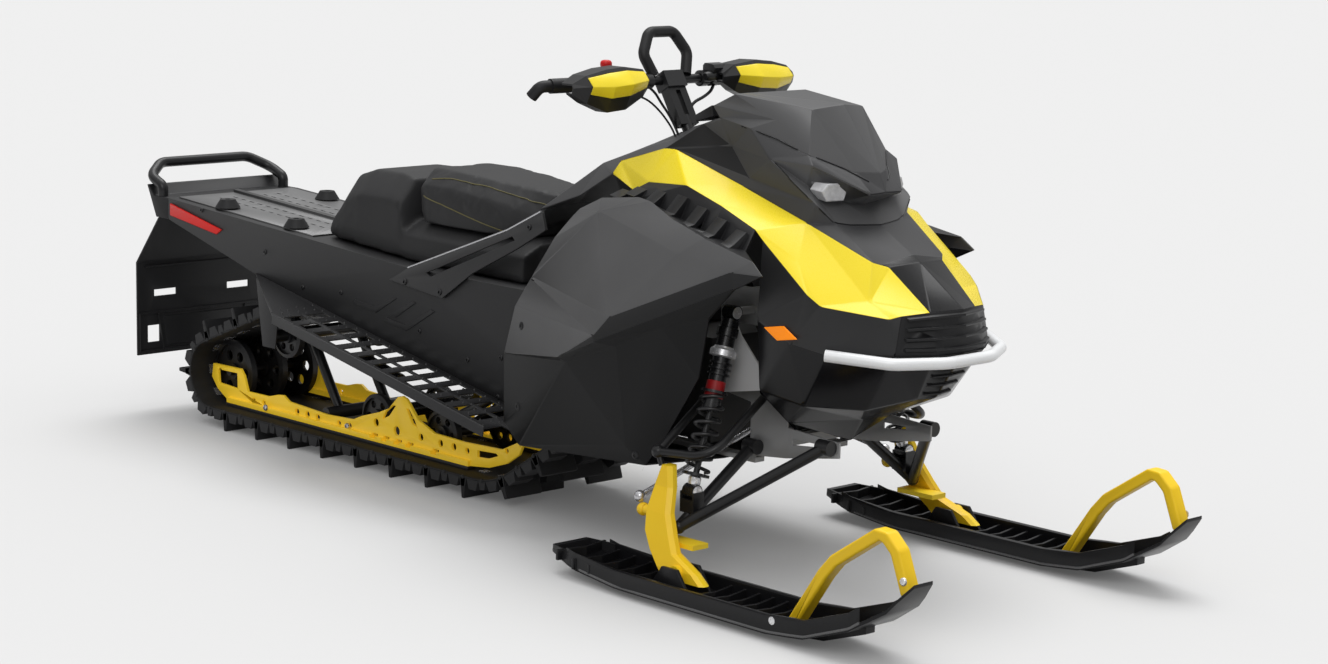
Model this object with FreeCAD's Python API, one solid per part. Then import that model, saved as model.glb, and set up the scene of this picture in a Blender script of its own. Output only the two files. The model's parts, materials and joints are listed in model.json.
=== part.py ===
import FreeCAD, Part
import math
import os

V = FreeCAD.Vector
UP = V(0, 0, 1)
LEFT = V(0, 1, 0)
AHEAD = V(1, 0, 0)

# Frame: x forward, y to the rider's left, z up from the ground. Millimetres.

# Bodywork: the sizes that the corners of its folded panels are shares of
body_run = 1250.0
body_half = 400.0
dash_height = 1000.0
panel_wall = 4.0
core_front_share = 0.76
core_height_share = 0.56

# Tunnel and the boards beside it
tunnel_half = 215.0
tunnel_sheet = 3.0
tunnel_rear_x = -1400.0
tunnel_front_x = 462.0
tunnel_front_low = 246.0
tunnel_rear_top = 616.0
tunnel_seat_top = 552.0
tunnel_seat_x = -355.0
board_half = 380.0
board_sheet = 4.0
board_rear_x = -993.0
board_front_x = 300.0
board_wide_x = 165.0
well_half = 322.0
board_rear_z = 460.0
board_slope = 0.185
board_lip = 22.0

# Track: a loop of rubber band with cross lugs
track_width = 381.0
band = 6.0
lug_height = 51.0
lug_base = 22.0
lug_tip = 10.0
lug_count = 51
wheel_radius = 89.0
nose_bend = 250.0
rear_axle_x = -1247.0
rail_nose_x = -120.0
drive_x = 262.0
drive_z = 360.0
carrier_x = -935.0
carrier_z = 296.0
inner_z = lug_height + band

# Rear suspension
rail_y = 130.0
rail_web = 8.0
rail_foot = 26.0
rail_foot_height = 14.0
slide_height = 9.0
rail_length = 1316.0
rail_height = 134.0
axle_radius = 11.0
wheel_width = 24.0
idler_radius = 62.0

# Front suspension and steering
stance_half = 440.0
rake = math.radians(24.0)
kingpin_y = 378.0
lower_ball_x = 806.0
lower_ball_z = 139.0
kingpin_length = 170.0
arm_tube = 13.0
bulk_half = 150.0
bulk_plate = 5.0
ski_bolt_x = 880.0
ski_bolt_z = 62.0
ski_bolt_radius = 8.0
steer_arm_x = 705.0
steer_arm_y = 395.0
steer_arm_z = 178.0
tie_inner_y = 70.0
tie_inner_x = 748.0
tie_inner_z = 322.0
tie_radius = 7.0
rod_end_radius = 13.5

# Skis
ski_length = 1045.0
ski_rear_x = 520.0
ski_half = 80.0
ski_tip_z = 176.0
ski_skin = 8.0
ski_deck_z = 40.0
keel_half = 14.0
keel_depth = 14.0
loop_half = 18.0
loop_bar = 26.0

# Steering column and bars
bar_x = 351.0
bar_stand = 57.0
bar_z = dash_height + bar_stand
foot_x = 804.2
foot_z = 302.7
post_tilt = math.atan2(foot_x - bar_x, bar_z - foot_z)
post_length = math.hypot(foot_x - bar_x, bar_z - foot_z)
post_radius = 14.0
bar_radius = 11.0
grip_radius = 17.0
bar_half = 330.0
loop_tube = 13.0

# Running clearances
seat_gap = 0.3
swing_gap = 8.0
pin_gap = 0.1

# Tunnel, deck and tail fittings
side_drop = 58.0
hanger_half = 28.0
board_taper = 310.0
slot_pitch = 62.0
slot_width = 34.0
slot_margin = 22.0
deck_thick = 4.0
deck_half = 188.0
deck_margin = 12.0
deck_rib_half = 9.0
deck_rib_rise = 8.0
dash_pitch = 38.0
dash_length = 20.0
dash_width = 6.0
dash_rows = [50.0, 95.0]
dash_end = 60.0
hoop_tube = 14.0
hoop_foot = 46.0
hoop_lean = 96.0
hoop_rise = 80.0
hoop_top_share = 0.72
hoop_bend = 50.0
lip_out = 98.0
lip_rise = 28.0
flap_sheet = 6.0
flap_x = -1559.0
flap_bend_z = 419.0
flap_low_z = 156.0
flap_window_shares = [(0.40, 0.74, 0.62, 0.69), (0.66, 0.84, 0.13, 0.31)]
light_shares = [(0.0, 0.45), (0.0, 1.0), (1.0, 0.25), (0.90, 0.0)]
light_run = 245.0
light_rise = 62.0
anchor_radius = 34.0
anchor_height = 22.0
anchor_bore = 8.0
anchor_floor = 4.0
anchor_places = [(-1190.0, 165.0), (-880.0, 165.0)]
strut_x = -414.0
strut_z = 494.0
strut_run = 590.0
strut_reach = 252.0
strut_outline_shares = [
    (0.0, 0.08), (0.124, 0.226), (0.766, 0.766), (0.978, 1.0), (1.0, 0.833),
    (0.818, 0.599), (0.549, 0.298), (0.356, 0.0),
]
strut_slot_shares = [(0.252, 0.222), (0.797, 0.722), (0.814, 0.690), (0.280, 0.194)]

# Raised bars pressed into the tunnel's sides: shares of the emblem's run and rise
emblem_x = -568.0
emblem_z = 394.0
emblem_run = 330.0
emblem_rise = 76.0
emblem_lift = 2.5
emblem_outline_shares = [
    [(0.0, 0.55), (0.285, 0.38), (0.535, 0.99), (0.50, 1.0), (0.27, 0.57), (0.03, 0.68)],
    [(0.38, 0.18), (0.665, 0.0), (0.995, 0.82), (0.95, 0.86), (0.655, 0.18), (0.42, 0.30)],
    [(0.44, 0.40), (0.53, 0.36), (0.77, 0.98), (0.73, 1.0)],
]

# Lugs on the track
lug_sink = 2.0
outer_lug_share = 0.30
centre_lug_share = 0.36

# Rails, arms and dampers
rail_rear_x = -1316.0
rail_outline_shares = [
    (0.000, 0.44), (0.005, 0.72), (0.103, 0.74), (0.115, 0.62), (0.128, 0.31),
    (0.200, 0.32), (0.232, 0.40), (0.252, 0.42), (0.272, 0.32), (0.400, 0.26),
    (0.485, 0.30), (0.515, 0.42), (0.570, 0.58), (0.600, 0.70), (0.628, 0.96),
    (0.642, 1.00), (0.656, 0.96), (0.690, 0.62), (0.740, 0.44), (0.830, 0.42),
    (0.940, 0.46), (0.985, 0.66), (1.000, 0.62), (0.990, 0.44), (0.955, 0.22),
    (0.905, 0.06), (0.850, 0.0), (0.062, 0.0), (0.020, 0.22),
]
rail_foot_shares = [0.062, 0.850]
rail_hole_shares = [
    (0.150, 0.16, 0.055), (0.185, 0.16, 0.055), (0.300, 0.16, 0.07), (0.335, 0.16, 0.07),
    (0.370, 0.15, 0.07), (0.440, 0.15, 0.06), (0.475, 0.16, 0.06), (0.560, 0.36, 0.08),
    (0.625, 0.30, 0.09), (0.700, 0.30, 0.07), (0.760, 0.28, 0.07), (0.800, 0.28, 0.07),
    (0.840, 0.27, 0.06), (0.955, 0.46, 0.05), (0.030, 0.60, 0.06), (0.085, 0.52, 0.06),
]
rail_window_shares = [
    [(0.580, 0.46), (0.602, 0.56), (0.622, 0.78), (0.612, 0.78), (0.588, 0.60)],
    [(0.655, 0.78), (0.672, 0.52), (0.690, 0.46), (0.680, 0.60), (0.664, 0.78)],
    [(0.870, 0.20), (0.900, 0.22), (0.930, 0.32), (0.925, 0.36), (0.870, 0.33)],
]
idler_places = [-607.0, -341.0]
carrier_y = 150.0
arm_foot = (-805.0, 100.0)
arm_top = (carrier_x, carrier_z)
front_arm_foot = (-430.0, 110.0)
front_arm_top = (-60.0, 300.0)
cross_radius = 17.0
arm_bar = 13.0
damper_radius = 20.0
eye_radius = 16.0
shaft_radius = 7.0
spring_radius = 26.0
spring_wire = 4.0
spring_turns = 6
spring_start_share = 0.10
spring_end_share = 0.56
perch_thick = 6.0
rear_shock_foot = (-490.0, 160.0)
rear_shock_top = (-812.0, 232.0)
shock_low = (808.0, 342.0, 214.0)
shock_high = (790.0, 215.0, 592.0)

# Wishbones and their joints
lower_front_pivot = (1035.0, 325.0)
lower_rear_pivot = (815.0, 292.0)
upper_front_pivot = (862.0, 423.0)
upper_rear_pivot = (722.0, 435.0)
upper_knee = (872.0, 352.0, 300.0)
knee_bend = 60.0
pivot_length = 36.0
ball_radius = 15.0
stud_radius = 7.0
clevis_z = 168.0

# Spindles. Each section: share of the height, rear and front shares of the run, share of the way out
spindle_section_shares = [
    (1.00, 0.12, 0.26, 0.00), (0.80, 0.06, 0.30, 0.10), (0.56, 0.04, 0.36, 0.42),
    (0.38, 0.08, 0.46, 0.62), (0.22, 0.20, 0.56, 0.80), (0.09, 0.34, 0.86, 0.96),
    (0.00, 0.42, 0.98, 1.00),
]
spindle_run = 236.0
spindle_x = 728.0
spindle_low_z = 47.0
leg_half = 15.0
foot_half = 20.0
ear_run = 110.0
ear_thick = 11.0

# Ski outlines and the loop at the tip
ski_bottom_shares = [
    (0.0, 0.20), (0.09, 0.06), (0.22, 0.0), (0.66, 0.0), (0.76, 0.06),
    (0.87, 0.30), (0.95, 0.62), (1.0, 0.98),
]
ski_plan_shares = [(0.0, 0.62), (0.06, 0.80), (0.25, 1.0), (0.72, 1.0), (0.88, 0.86),
                   (0.97, 0.55), (1.0, 0.35)]
ski_rib_shares = [0.05, 0.10, 0.15, 0.20, 0.25, 0.44, 0.48, 0.52, 0.56, 0.60, 0.64]
rib_thick = 7.0
rib_sweep = 16.0
rib_rise = 20.0
saddle_run = 70.0
loop_outline_shares = [(0.0, 0.0), (0.24, 0.50), (0.34, 0.66), (0.70, 1.0), (0.80, 0.99),
                       (0.90, 0.86), (1.0, 0.50)]
loop_x = 1215.0
loop_run = 330.0
loop_z = 38.0
loop_rise = 232.0

# Bulkhead, engine and belly pan
bulk_x = 690.0
bulk_run = 370.0
bulk_z = 265.0
bulk_rise = 375.0
bulk_window_shares = [
    [(0.08, 0.57), (0.08, 0.78), (0.43, 0.78), (0.40, 0.57)],
    [(0.62, 0.118), (0.62, 0.155), (0.80, 0.155), (0.80, 0.135)],
]
post_room = 90.0
lid_run = 118.0
bearing_bar = 22.0
beam_width = 30.0
beam_height = 12.0
beam_stand = 4.0
beam_z = tunnel_front_low + beam_stand
stub_radius = 9.0
engine_run = 170.0
engine_half = 118.0
engine_stand = 18.0
engine_rise = 240.0
belly_tongue = 20.0

# Seat: a low saddle and the bag-shaped bulge behind it
seat_front_x = 40.0
seat_rear_x = -435.0
seat_top = 788.0
seat_side_half = 150.0
seat_lift = 100.0
# Each section: share of the run, of the height, of the half width at the crown, shoulder
# and foot, the shoulder's share of the height, and how far the section leans
seat_section_shares = [
    (0.00, 0.94, 0.50, 0.84, 0.92, 0.66, 0.35), (0.07, 1.00, 0.62, 0.93, 0.98, 0.70, 0.30),
    (0.30, 0.99, 0.66, 0.96, 1.00, 0.72, 0.10), (0.60, 0.92, 0.62, 0.92, 1.00, 0.68, 0.00),
    (0.85, 0.86, 0.52, 0.84, 0.96, 0.60, -0.20), (1.00, 0.80, 0.40, 0.70, 0.80, 0.52, -0.45),
]
tail_section_shares = [
    (0.000, 0.20, 0.50, 0.70, 0.74, 0.50, 0.0), (0.022, 0.44, 0.56, 0.84, 0.90, 0.55, 0.0),
    (0.110, 0.88, 0.60, 0.92, 0.98, 0.62, 0.0), (0.190, 0.99, 0.58, 0.95, 1.00, 0.66, 0.0),
    (0.330, 1.00, 0.60, 0.96, 1.00, 0.68, 0.0), (0.400, 0.94, 0.64, 0.97, 1.00, 0.70, 0.0),
]
tail_rear_x = -775.0
tail_top = 765.0
tail_half = 175.0

# Lamps, bumper, reflectors and gauge
lens_run = 52.0
lens_half = 26.0
lens_height = 26.0
bumper_tube = 13.0
bumper_bend = 60.0
bumper_seat = 11.1
bumper_stand = 16.0
bumper_mid = 175.0
bumper_front = 70.0
reflector_run = 74.0
reflector_rise = 26.0
gauge_half = 55.0
gauge_run = 60.0
gauge_rise = 26.0
gauge_set = 70.0

# Grille slats
slat_count = 4
lower_slat_count = 5
slat_stand = 7.0
slat_thick = 6.0
slat_reach_share = 0.8

# Louvres under the coloured blade
louvre_count = 7
louvre_share = 0.5
louvre_inset_share = 0.36
louvre_height = 20.0
louvre_root = 14.0
louvre_lift_shares = [0.30, 1.0, 0.30]

# Bars, levers, guards and the grab loop
clamp_size = 40.0
riser_length = 118.0
riser_width = 56.0
riser_depth = 26.0
riser_slot = 14.0
pitman_half = 80.0
pitman_gap = 6.0
bar_flat_share = 0.3
bar_sweep = 60.0
bar_droop = 5.0
bar_bend = 60.0
grip_length = 130.0
hook_run = 26.0
hook_back = 18.0
hook_out = 10.0
hook_drop = 24.0
guard_y = 118.0
guard_run = 232.0
guard_z = 1000.0
guard_rise = 100.0
guard_x = 404.0
guard_depth = 48.0
guard_wall = 4.0
insert_lift = 0.8
guard_mount_radius = 8.0
guard_section_shares = [
    (0.00, 0.72, 0.50, 0.10), (0.12, 0.92, 0.30, 0.65), (0.38, 1.00, 0.04, 1.0),
    (0.62, 0.96, 0.00, 1.0), (0.86, 0.84, 0.22, 0.72), (1.00, 0.66, 0.42, 0.15),
]
perch_run = 34.0
perch_radius = 19.0
lever_radius = 4.5
lever_reach = 100.0
lever_gap = 46.0
thumb_reach = 36.0
switch_radius = 9.0
loop_back = 34.0
loop_width = 70.0
loop_height = 98.0
loop_bend = 26.0

# Corners of the bodywork: shares of body_run, body_half and dash_height
body_corner_shares = {
    "console_low": (0.036, 0.0, 0.745),
    "console_low_side": (0.045, 0.34, 0.735),
    "console_side": (0.170, 0.375, 0.785),
    "dash_rear": (0.126, 0.0, 0.850),
    "dash_rear_side": (0.190, 0.25, 0.860),
    "dash_mid": (0.240, 0.0, 0.905),
    "dash_mid_side": (0.270, 0.27, 0.893),
    "dash_top": (0.344, 0.0, 0.955),
    "dash_top_side": (0.400, 0.22, 0.945),
    "pod_rear": (0.472, 0.0, 1.002),
    "pod_rear_side": (0.500, 0.24, 0.990),
    "stripe_tip": (0.286, 0.45, 0.853),
    "stripe_a": (0.290, 0.40, 0.880),
    "stripe_b": (0.400, 0.375, 0.921),
    "stripe_c": (0.426, 0.375, 0.922),
    "stripe_d": (0.612, 0.40, 0.860),
    "stripe_e": (0.764, 0.40, 0.802),
    "stripe_f": (0.884, 0.28, 0.730),
    "stripe_g": (0.902, 0.215, 0.721),
    "stripe_h": (0.989, 0.182, 0.636),
    "stripe_i": (0.966, 0.325, 0.630),
    "stripe_j": (0.954, 0.378, 0.623),
    "stripe_k": (0.870, 0.625, 0.646),
    "stripe_l": (0.845, 0.65, 0.668),
    "stripe_m": (0.737, 0.65, 0.769),
    "stripe_n": (0.719, 0.65, 0.789),
    "stripe_o": (0.618, 0.60, 0.826),
    "stripe_p": (0.514, 0.55, 0.856),
    "stripe_q": (0.400, 0.50, 0.848),
    "stripe_r": (0.364, 0.50, 0.822),
    "crease_front": (0.906, 0.375, 0.653),
    "crease_rear": (0.800, 0.575, 0.728),
    "screen_corner": (0.524, 0.33, 1.002),
    "screen_side": (0.735, 0.305, 0.942),
    "screen_front": (0.791, 0.125, 0.907),
    "screen_nose": (0.812, 0.0, 0.905),
    "brow_rear": (0.669, 0.395, 0.928),
    "brow_mid": (0.754, 0.337, 0.922),
    "brow_front": (0.830, 0.125, 0.865),
    "brow_nose": (0.828, 0.0, 0.866),
    "socket_side": (0.735, 0.31, 0.876),
    "socket_front": (0.768, 0.15, 0.842),
    "socket_nose": (0.776, 0.0, 0.836),
    "sill_side": (0.778, 0.375, 0.842),
    "sill_front": (0.794, 0.263, 0.798),
    "sill_nose": (0.818, 0.0, 0.793),
    "spine": (0.912, 0.0, 0.726),
    "nose_top": (1.012, 0.0, 0.640),
    "brow_line_side": (0.737, 0.675, 0.600),
    "brow_line_mid": (0.816, 0.68, 0.563),
    "brow_line_front": (0.878, 0.60, 0.545),
    "grille_low_side": (0.969, 0.375, 0.548),
    "grille_low_mid": (1.008, 0.20, 0.548),
    "grille_low_nose": (1.016, 0.0, 0.548),
    "chin_side": (0.729, 0.62, 0.440),
    "chin_mid": (0.816, 0.56, 0.420),
    "chin_front": (0.895, 0.34, 0.415),
    "chin_low_mid": (0.950, 0.125, 0.440),
    "chin_nose": (0.956, 0.0, 0.438),
    "keel_side": (0.740, 0.425, 0.362),
    "keel_front": (0.826, 0.125, 0.372),
    "keel_nose": (0.826, 0.0, 0.370),
    "keel_tip": (0.762, 0.0, 0.306),
    "panel_a": (0.240, 0.575, 0.768),
    "panel_b": (0.320, 0.625, 0.806),
    "panel_c": (0.429, 0.655, 0.822),
    "panel_d": (0.469, 0.68, 0.818),
    "panel_e": (0.543, 0.737, 0.791),
    "panel_f": (0.646, 0.80, 0.764),
    "panel_g": (0.774, 0.837, 0.734),
    "panel_tip": (0.802, 0.85, 0.708),
    "bevel_rear": (0.344, 0.72, 0.780),
    "bevel_mid": (0.593, 0.845, 0.725),
    "bevel_front": (0.733, 0.87, 0.707),
    "lip_rear": (0.472, 1.0, 0.571),
    "lip_mid": (0.434, 1.0, 0.526),
    "lip_end": (0.327, 0.965, 0.456),
    "lip_low_mid": (0.433, 0.99, 0.511),
    "lip_low_front": (0.734, 0.845, 0.669),
    "groove_rear": (0.338, 0.935, 0.446),
    "groove_mid": (0.468, 0.925, 0.503),
    "ridge_top": (0.578, 0.90, 0.563),
    "ridge_low": (0.475, 0.86, 0.278),
    "panel_under": (0.668, 0.825, 0.593),
    "edge_high": (0.225, 0.715, 0.705),
    "edge_mid": (0.190, 0.795, 0.610),
    "edge_low": (0.163, 0.84, 0.542),
    "edge_foot": (0.138, 0.855, 0.427),
    "panel_m": (0.137, 0.85, 0.264),
    "panel_n": (0.181, 0.85, 0.216),
    "panel_o": (0.516, 0.825, 0.240),
    "panel_p": (0.566, 0.825, 0.313),
    "panel_q": (0.645, 0.825, 0.458),
    "rim_rear": (0.479, 0.0, 1.046),
    "rim_rear_side": (0.544, 0.28, 1.055),
    "rim_corner": (0.513, 0.35, 1.028),
    "rim_front": (0.724, 0.0, 1.045),
    "rim_front_side": (0.708, 0.20, 1.036),
    "screen_shoulder": (0.646, 0.28, 1.008),
    "screen_mid": (0.603, 0.345, 0.987),
    "shoulder_rear": (0.462, 0.27, 0.981),
    "shoulder_mid": (0.544, 0.295, 0.941),
    "shoulder_low": (0.616, 0.375, 0.879),
    "vent_rear": (0.330, 0.56, 0.800),
    "vent_a": (0.405, 0.58, 0.815),
    "vent_b": (0.514, 0.62, 0.790),
    "vent_c": (0.618, 0.67, 0.765),
    "vent_d": (0.719, 0.72, 0.745),
}


def solid_of(shape):
    """The single solid in a shape, turned the right way out."""
    solid = shape.Solids[0] if shape.Solids else Part.makeSolid(shape)
    if solid.Volume < 0:
        solid.reverse()
    return solid


def mirrored(shape):
    """The same piece on the other side of the machine."""
    return shape.mirror(V(0, 0, 0), LEFT)


def both_sides(shape):
    """A piece and its twin as one node."""
    return Part.makeCompound([shape, mirrored(shape)])


def polygon(points):
    return Part.makePolygon(list(points) + [points[0]])


def side_plate(outline, y_low, y_high):
    """A plate drawn in side view, from one y to another."""
    face = Part.Face(polygon([V(x, y_low, z) for x, z in outline]))
    return face.extrude(V(0, y_high - y_low, 0))


def plan_plate(outline, z_low, z_high):
    """A plate drawn from above, from one height to another."""
    face = Part.Face(polygon([V(x, y, z_low) for x, y in outline]))
    return face.extrude(V(0, 0, z_high - z_low))


def wedge(first, second):
    """A closed block between two polygons with equally many corners."""
    faces = [Part.Face(polygon(first)), Part.Face(polygon(second))]
    count = len(first)
    for k in range(count):
        n = (k + 1) % count
        faces.append(triangle(first[k], first[n], second[k]))
        faces.append(triangle(first[n], second[n], second[k]))
    shell = Part.makeShell(faces)
    shell.sewShape()
    return solid_of(Part.makeSolid(shell))


def rod(start, end, radius):
    """A round bar between two points."""
    run = end - start
    return Part.makeCylinder(radius, run.Length, start, run)


def bore_tube(start, end, radius, wall):
    """A round tube between two points."""
    return rod(start, end, radius).cut(rod(start, end, radius - wall))


def bent_path(points, bend):
    """Straight runs joined by tangent arcs of one radius, kept inside the runs."""
    edges = []
    cursor = points[0]
    for before, corner, after in zip(points, points[1:], points[2:]):
        back = (before - corner).normalize()
        forth = (after - corner).normalize()
        turn = math.pi - back.getAngle(forth)
        room = 0.45 * min((before - corner).Length, (after - corner).Length)
        reach = min(bend * math.tan(turn / 2), room)
        start = corner + back * reach
        end = corner + forth * reach
        radius = reach / math.tan(turn / 2)
        middle_way = (back + forth).normalize()
        middle = corner + middle_way * (radius / math.cos(turn / 2) - radius)
        edges.append(Part.makeLine(cursor, start))
        edges.append(Part.Arc(start, middle, end).toShape())
        cursor = end
    edges.append(Part.makeLine(cursor, points[-1]))
    return Part.Wire(edges)


def bent_bar(points, radius, bend):
    """A round bar bent along a route."""
    path = bent_path(points, bend)
    ring = Part.Wire(Part.makeCircle(radius, points[0], points[1] - points[0]))
    return solid_of(path.makePipeShell([ring], True, False))


def shares_to_points(shares, x0, x_size, z0, z_size):
    return [(x0 + sx * x_size, z0 + sz * z_size) for sx, sz in shares]


def corner(name, side):
    """The outer point of a named corner, on the right (-1) or left (1)."""
    sx, sy, sz = body_corner_shares[name]
    return V(sx * body_run, side * sy * body_half, sz * dash_height)


def inner_corner(point):
    """The same corner on the panel's inner face, a wall nearer the core."""
    core_x = min(point.x, core_front_share * body_run)
    core = V(core_x, 0, core_height_share * dash_height)
    return point + (core - point).normalize() * panel_wall


def triangle(a, b, c):
    return Part.Face(polygon([a, b, c]))


def folded_panel(facets, sides):
    """A plate folded from triangles between named corners, one wall thick."""
    faces = []
    rims = {}
    for side in sides:
        for facet in facets:
            names = facet.split()
            keys = [(n, side if body_corner_shares[n][1] else 0) for n in names]
            for first, second in zip(keys, keys[1:] + keys[:1]):
                rim = tuple(sorted((first, second)))
                rims[rim] = rims.get(rim, 0) + 1
            outer = [corner(n, side) for n in names]
            inner = [inner_corner(p) for p in outer]
            faces.append(triangle(*outer))
            faces.append(triangle(*inner))
    for (first, second), count in rims.items():
        if count == 1:
            a = corner(first[0], first[1] or 1)
            b = corner(second[0], second[1] or 1)
            inner_a = inner_corner(a)
            faces.append(triangle(a, b, inner_a))
            faces.append(triangle(b, inner_a, inner_corner(b)))
    shell = Part.makeShell(faces)
    shell.sewShape()
    return solid_of(Part.makeSolid(shell))


def strip(upper, lower):
    """Facets between two lines of corner names of equal count."""
    facets = []
    for a, b, c, d in zip(upper, upper[1:], lower, lower[1:]):
        facets.append(f"{a} {b} {c}")
        facets.append(f"{b} {d} {c}")
    return facets


def hood():
    """The centre cover: console, dash, lamp brow and bonnet down to the nose."""
    facets = [
        "console_low console_low_side dash_rear",
        "console_low_side console_side dash_rear_side",
        "console_low_side dash_rear_side dash_rear",
        "dash_rear dash_rear_side dash_mid_side",
        "dash_rear dash_mid_side dash_mid",
        "dash_rear_side console_side stripe_tip",
        "dash_rear_side stripe_tip dash_mid_side",
        "dash_mid_side stripe_tip stripe_a",
        "dash_mid_side stripe_a stripe_b",
        "dash_mid dash_mid_side dash_top_side",
        "dash_mid dash_top_side dash_top",
        "dash_mid_side stripe_b dash_top_side",
        "dash_top dash_top_side pod_rear_side",
        "dash_top pod_rear_side pod_rear",
        "dash_top_side stripe_b shoulder_rear",
        "stripe_b shoulder_mid shoulder_rear",
        "stripe_b stripe_c shoulder_mid",
        "stripe_c shoulder_low shoulder_mid",
        "stripe_c stripe_d shoulder_low",
        "dash_top_side shoulder_rear pod_rear_side",
        "shoulder_rear screen_corner pod_rear_side",
        "shoulder_rear shoulder_mid screen_corner",
        "screen_corner shoulder_mid screen_mid",
        "shoulder_mid brow_rear screen_mid",
        "shoulder_mid shoulder_low brow_rear",
        "screen_mid brow_rear screen_side",
        "brow_rear brow_mid screen_side",
        "screen_side brow_mid brow_front",
        "screen_side brow_front screen_front",
        "screen_front brow_front brow_nose",
        "screen_front brow_nose screen_nose",
        "brow_rear socket_side brow_mid",
        "brow_mid socket_side socket_front",
        "brow_mid socket_front brow_front",
        "brow_front socket_front socket_nose",
        "brow_front socket_nose brow_nose",
        "brow_rear sill_side socket_side",
        "sill_side sill_front socket_side",
        "socket_side sill_front socket_front",
        "socket_front sill_front sill_nose",
        "socket_front sill_nose socket_nose",
        "shoulder_low sill_side brow_rear",
        "shoulder_low stripe_d sill_side",
        "stripe_d stripe_e sill_side",
        "sill_side stripe_e sill_front",
        "sill_front stripe_e stripe_f",
        "sill_front stripe_f spine",
        "sill_front spine sill_nose",
        "stripe_f stripe_g spine",
        "spine stripe_g stripe_h",
        "spine stripe_h nose_top",
    ]
    cover = folded_panel(facets, (-1, 1))
    hole = column_space(post_radius + swing_gap)
    return cover.cut(hole)


def column_space(radius):
    """The cylinder round the steering post where it passes the dash."""
    low = V(bar_x, 0, bar_z) - post_direction() * (post_length / 4)
    return Part.makeCylinder(radius, post_length / 4, low, post_direction())


def post_direction():
    return V(-math.sin(post_tilt), 0, math.cos(post_tilt))


def side_cowl(side):
    """The long coloured blade along the bonnet's edge."""
    facets = [
        "stripe_tip stripe_a stripe_r",
        "stripe_a stripe_q stripe_r",
        "stripe_a stripe_b stripe_q",
        "stripe_b stripe_c stripe_q",
        "stripe_c stripe_p stripe_q",
        "stripe_c stripe_d stripe_p",
        "stripe_d stripe_o stripe_p",
        "stripe_d stripe_e stripe_o",
        "stripe_e stripe_n stripe_o",
        "stripe_e crease_rear stripe_n",
        "stripe_n crease_rear stripe_m",
        "stripe_e crease_front crease_rear",
        "stripe_e stripe_f crease_front",
        "crease_rear stripe_l stripe_m",
        "crease_rear stripe_k stripe_l",
        "crease_rear crease_front stripe_k",
        "crease_front stripe_j stripe_k",
        "stripe_f stripe_g crease_front",
        "stripe_g stripe_h crease_front",
        "stripe_h stripe_i crease_front",
        "crease_front stripe_i stripe_j",
    ]
    return folded_panel(facets, (side,))


def vent(side):
    """The recessed panel under the blade with its row of louvres."""
    upper = ["stripe_r", "stripe_q", "stripe_p", "stripe_o", "stripe_n"]
    middle = ["vent_rear", "vent_a", "vent_b", "vent_c", "vent_d"]
    lower = ["panel_b", "panel_c", "panel_e", "panel_f", "panel_g"]
    facets = strip(upper, middle) + strip(middle, lower)
    facets.append("panel_c panel_d panel_e")
    body = folded_panel(facets, (side,))
    lines = [[corner(name, side) for name in names] for names in (upper, middle, lower)]
    lines[0] = [a + (b - a) * louvre_inset_share for a, b in zip(lines[0], lines[1])]
    lines[2] = [a + (b - a) * louvre_inset_share for a, b in zip(lines[2], lines[1])]
    for index in range(louvre_count):
        share = (index + 0.5) / louvre_count
        body = body.fuse(louvre(lines, share, side))
    return body


def along(points, share):
    """The point at a share of the way along a line of points, each run counted alike."""
    place = share * (len(points) - 1)
    index = min(int(place), len(points) - 2)
    return points[index] + (points[index + 1] - points[index]) * (place - index)


def louvre(lines, share, side):
    """One rib that stands over the vent, from the blade to the side panel."""
    across = [along(line, share) for line in lines]
    middle = lines[1]
    run = middle[-1] - middle[0]
    half = run.Length * louvre_share / louvre_count / 2
    way = run.normalize()
    out = V(0, side, 0.5).normalize()
    outline = [p - out * louvre_root for p in across]
    outline += [p + out * louvre_height * lift for p, lift in
                zip(across[::-1], louvre_lift_shares[::-1])]
    flat = [p - way * (p - across[1]).dot(way) for p in outline]
    face = Part.Face(polygon([p - way * half for p in flat]))
    return face.extrude(way * half * 2)


def side_panel(side):
    """The large side cover: a bevelled wing with a folded lip over a ridged skirt."""
    facets = [
        "panel_a panel_b bevel_rear", "panel_b panel_c bevel_rear",
        "panel_c panel_d bevel_rear", "panel_d panel_e bevel_rear",
        "panel_e bevel_mid bevel_rear", "panel_e panel_f bevel_mid",
        "panel_f panel_g bevel_mid", "panel_g bevel_front bevel_mid",
        "panel_g panel_tip bevel_front",
        "bevel_front lip_rear bevel_mid", "bevel_mid lip_rear bevel_rear",
        "bevel_rear lip_rear edge_mid", "bevel_rear edge_high panel_a",
        "bevel_rear edge_mid edge_high", "lip_rear lip_mid edge_mid",
        "edge_mid lip_mid edge_low", "edge_low lip_mid lip_end",
        "edge_low lip_end edge_foot",
        "lip_rear bevel_front lip_low_front", "bevel_front panel_tip lip_low_front",
        "lip_rear lip_low_front lip_low_mid", "lip_rear lip_low_mid lip_mid",
        "lip_mid lip_low_mid lip_end",
        "lip_end lip_low_mid groove_rear", "lip_low_mid groove_mid groove_rear",
        "lip_low_mid ridge_top groove_mid", "lip_low_mid lip_low_front ridge_top",
        "lip_low_front panel_under ridge_top",
        "edge_foot lip_end groove_rear", "edge_foot groove_rear panel_m",
        "groove_rear panel_n panel_m", "groove_rear ridge_low panel_n",
        "groove_rear groove_mid ridge_low", "groove_mid ridge_top ridge_low",
        "ridge_low panel_o panel_n", "ridge_low panel_p panel_o",
        "ridge_top panel_p ridge_low", "ridge_top panel_q panel_p",
        "ridge_top panel_under panel_q",
    ]
    return folded_panel(facets, (side,))


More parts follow.
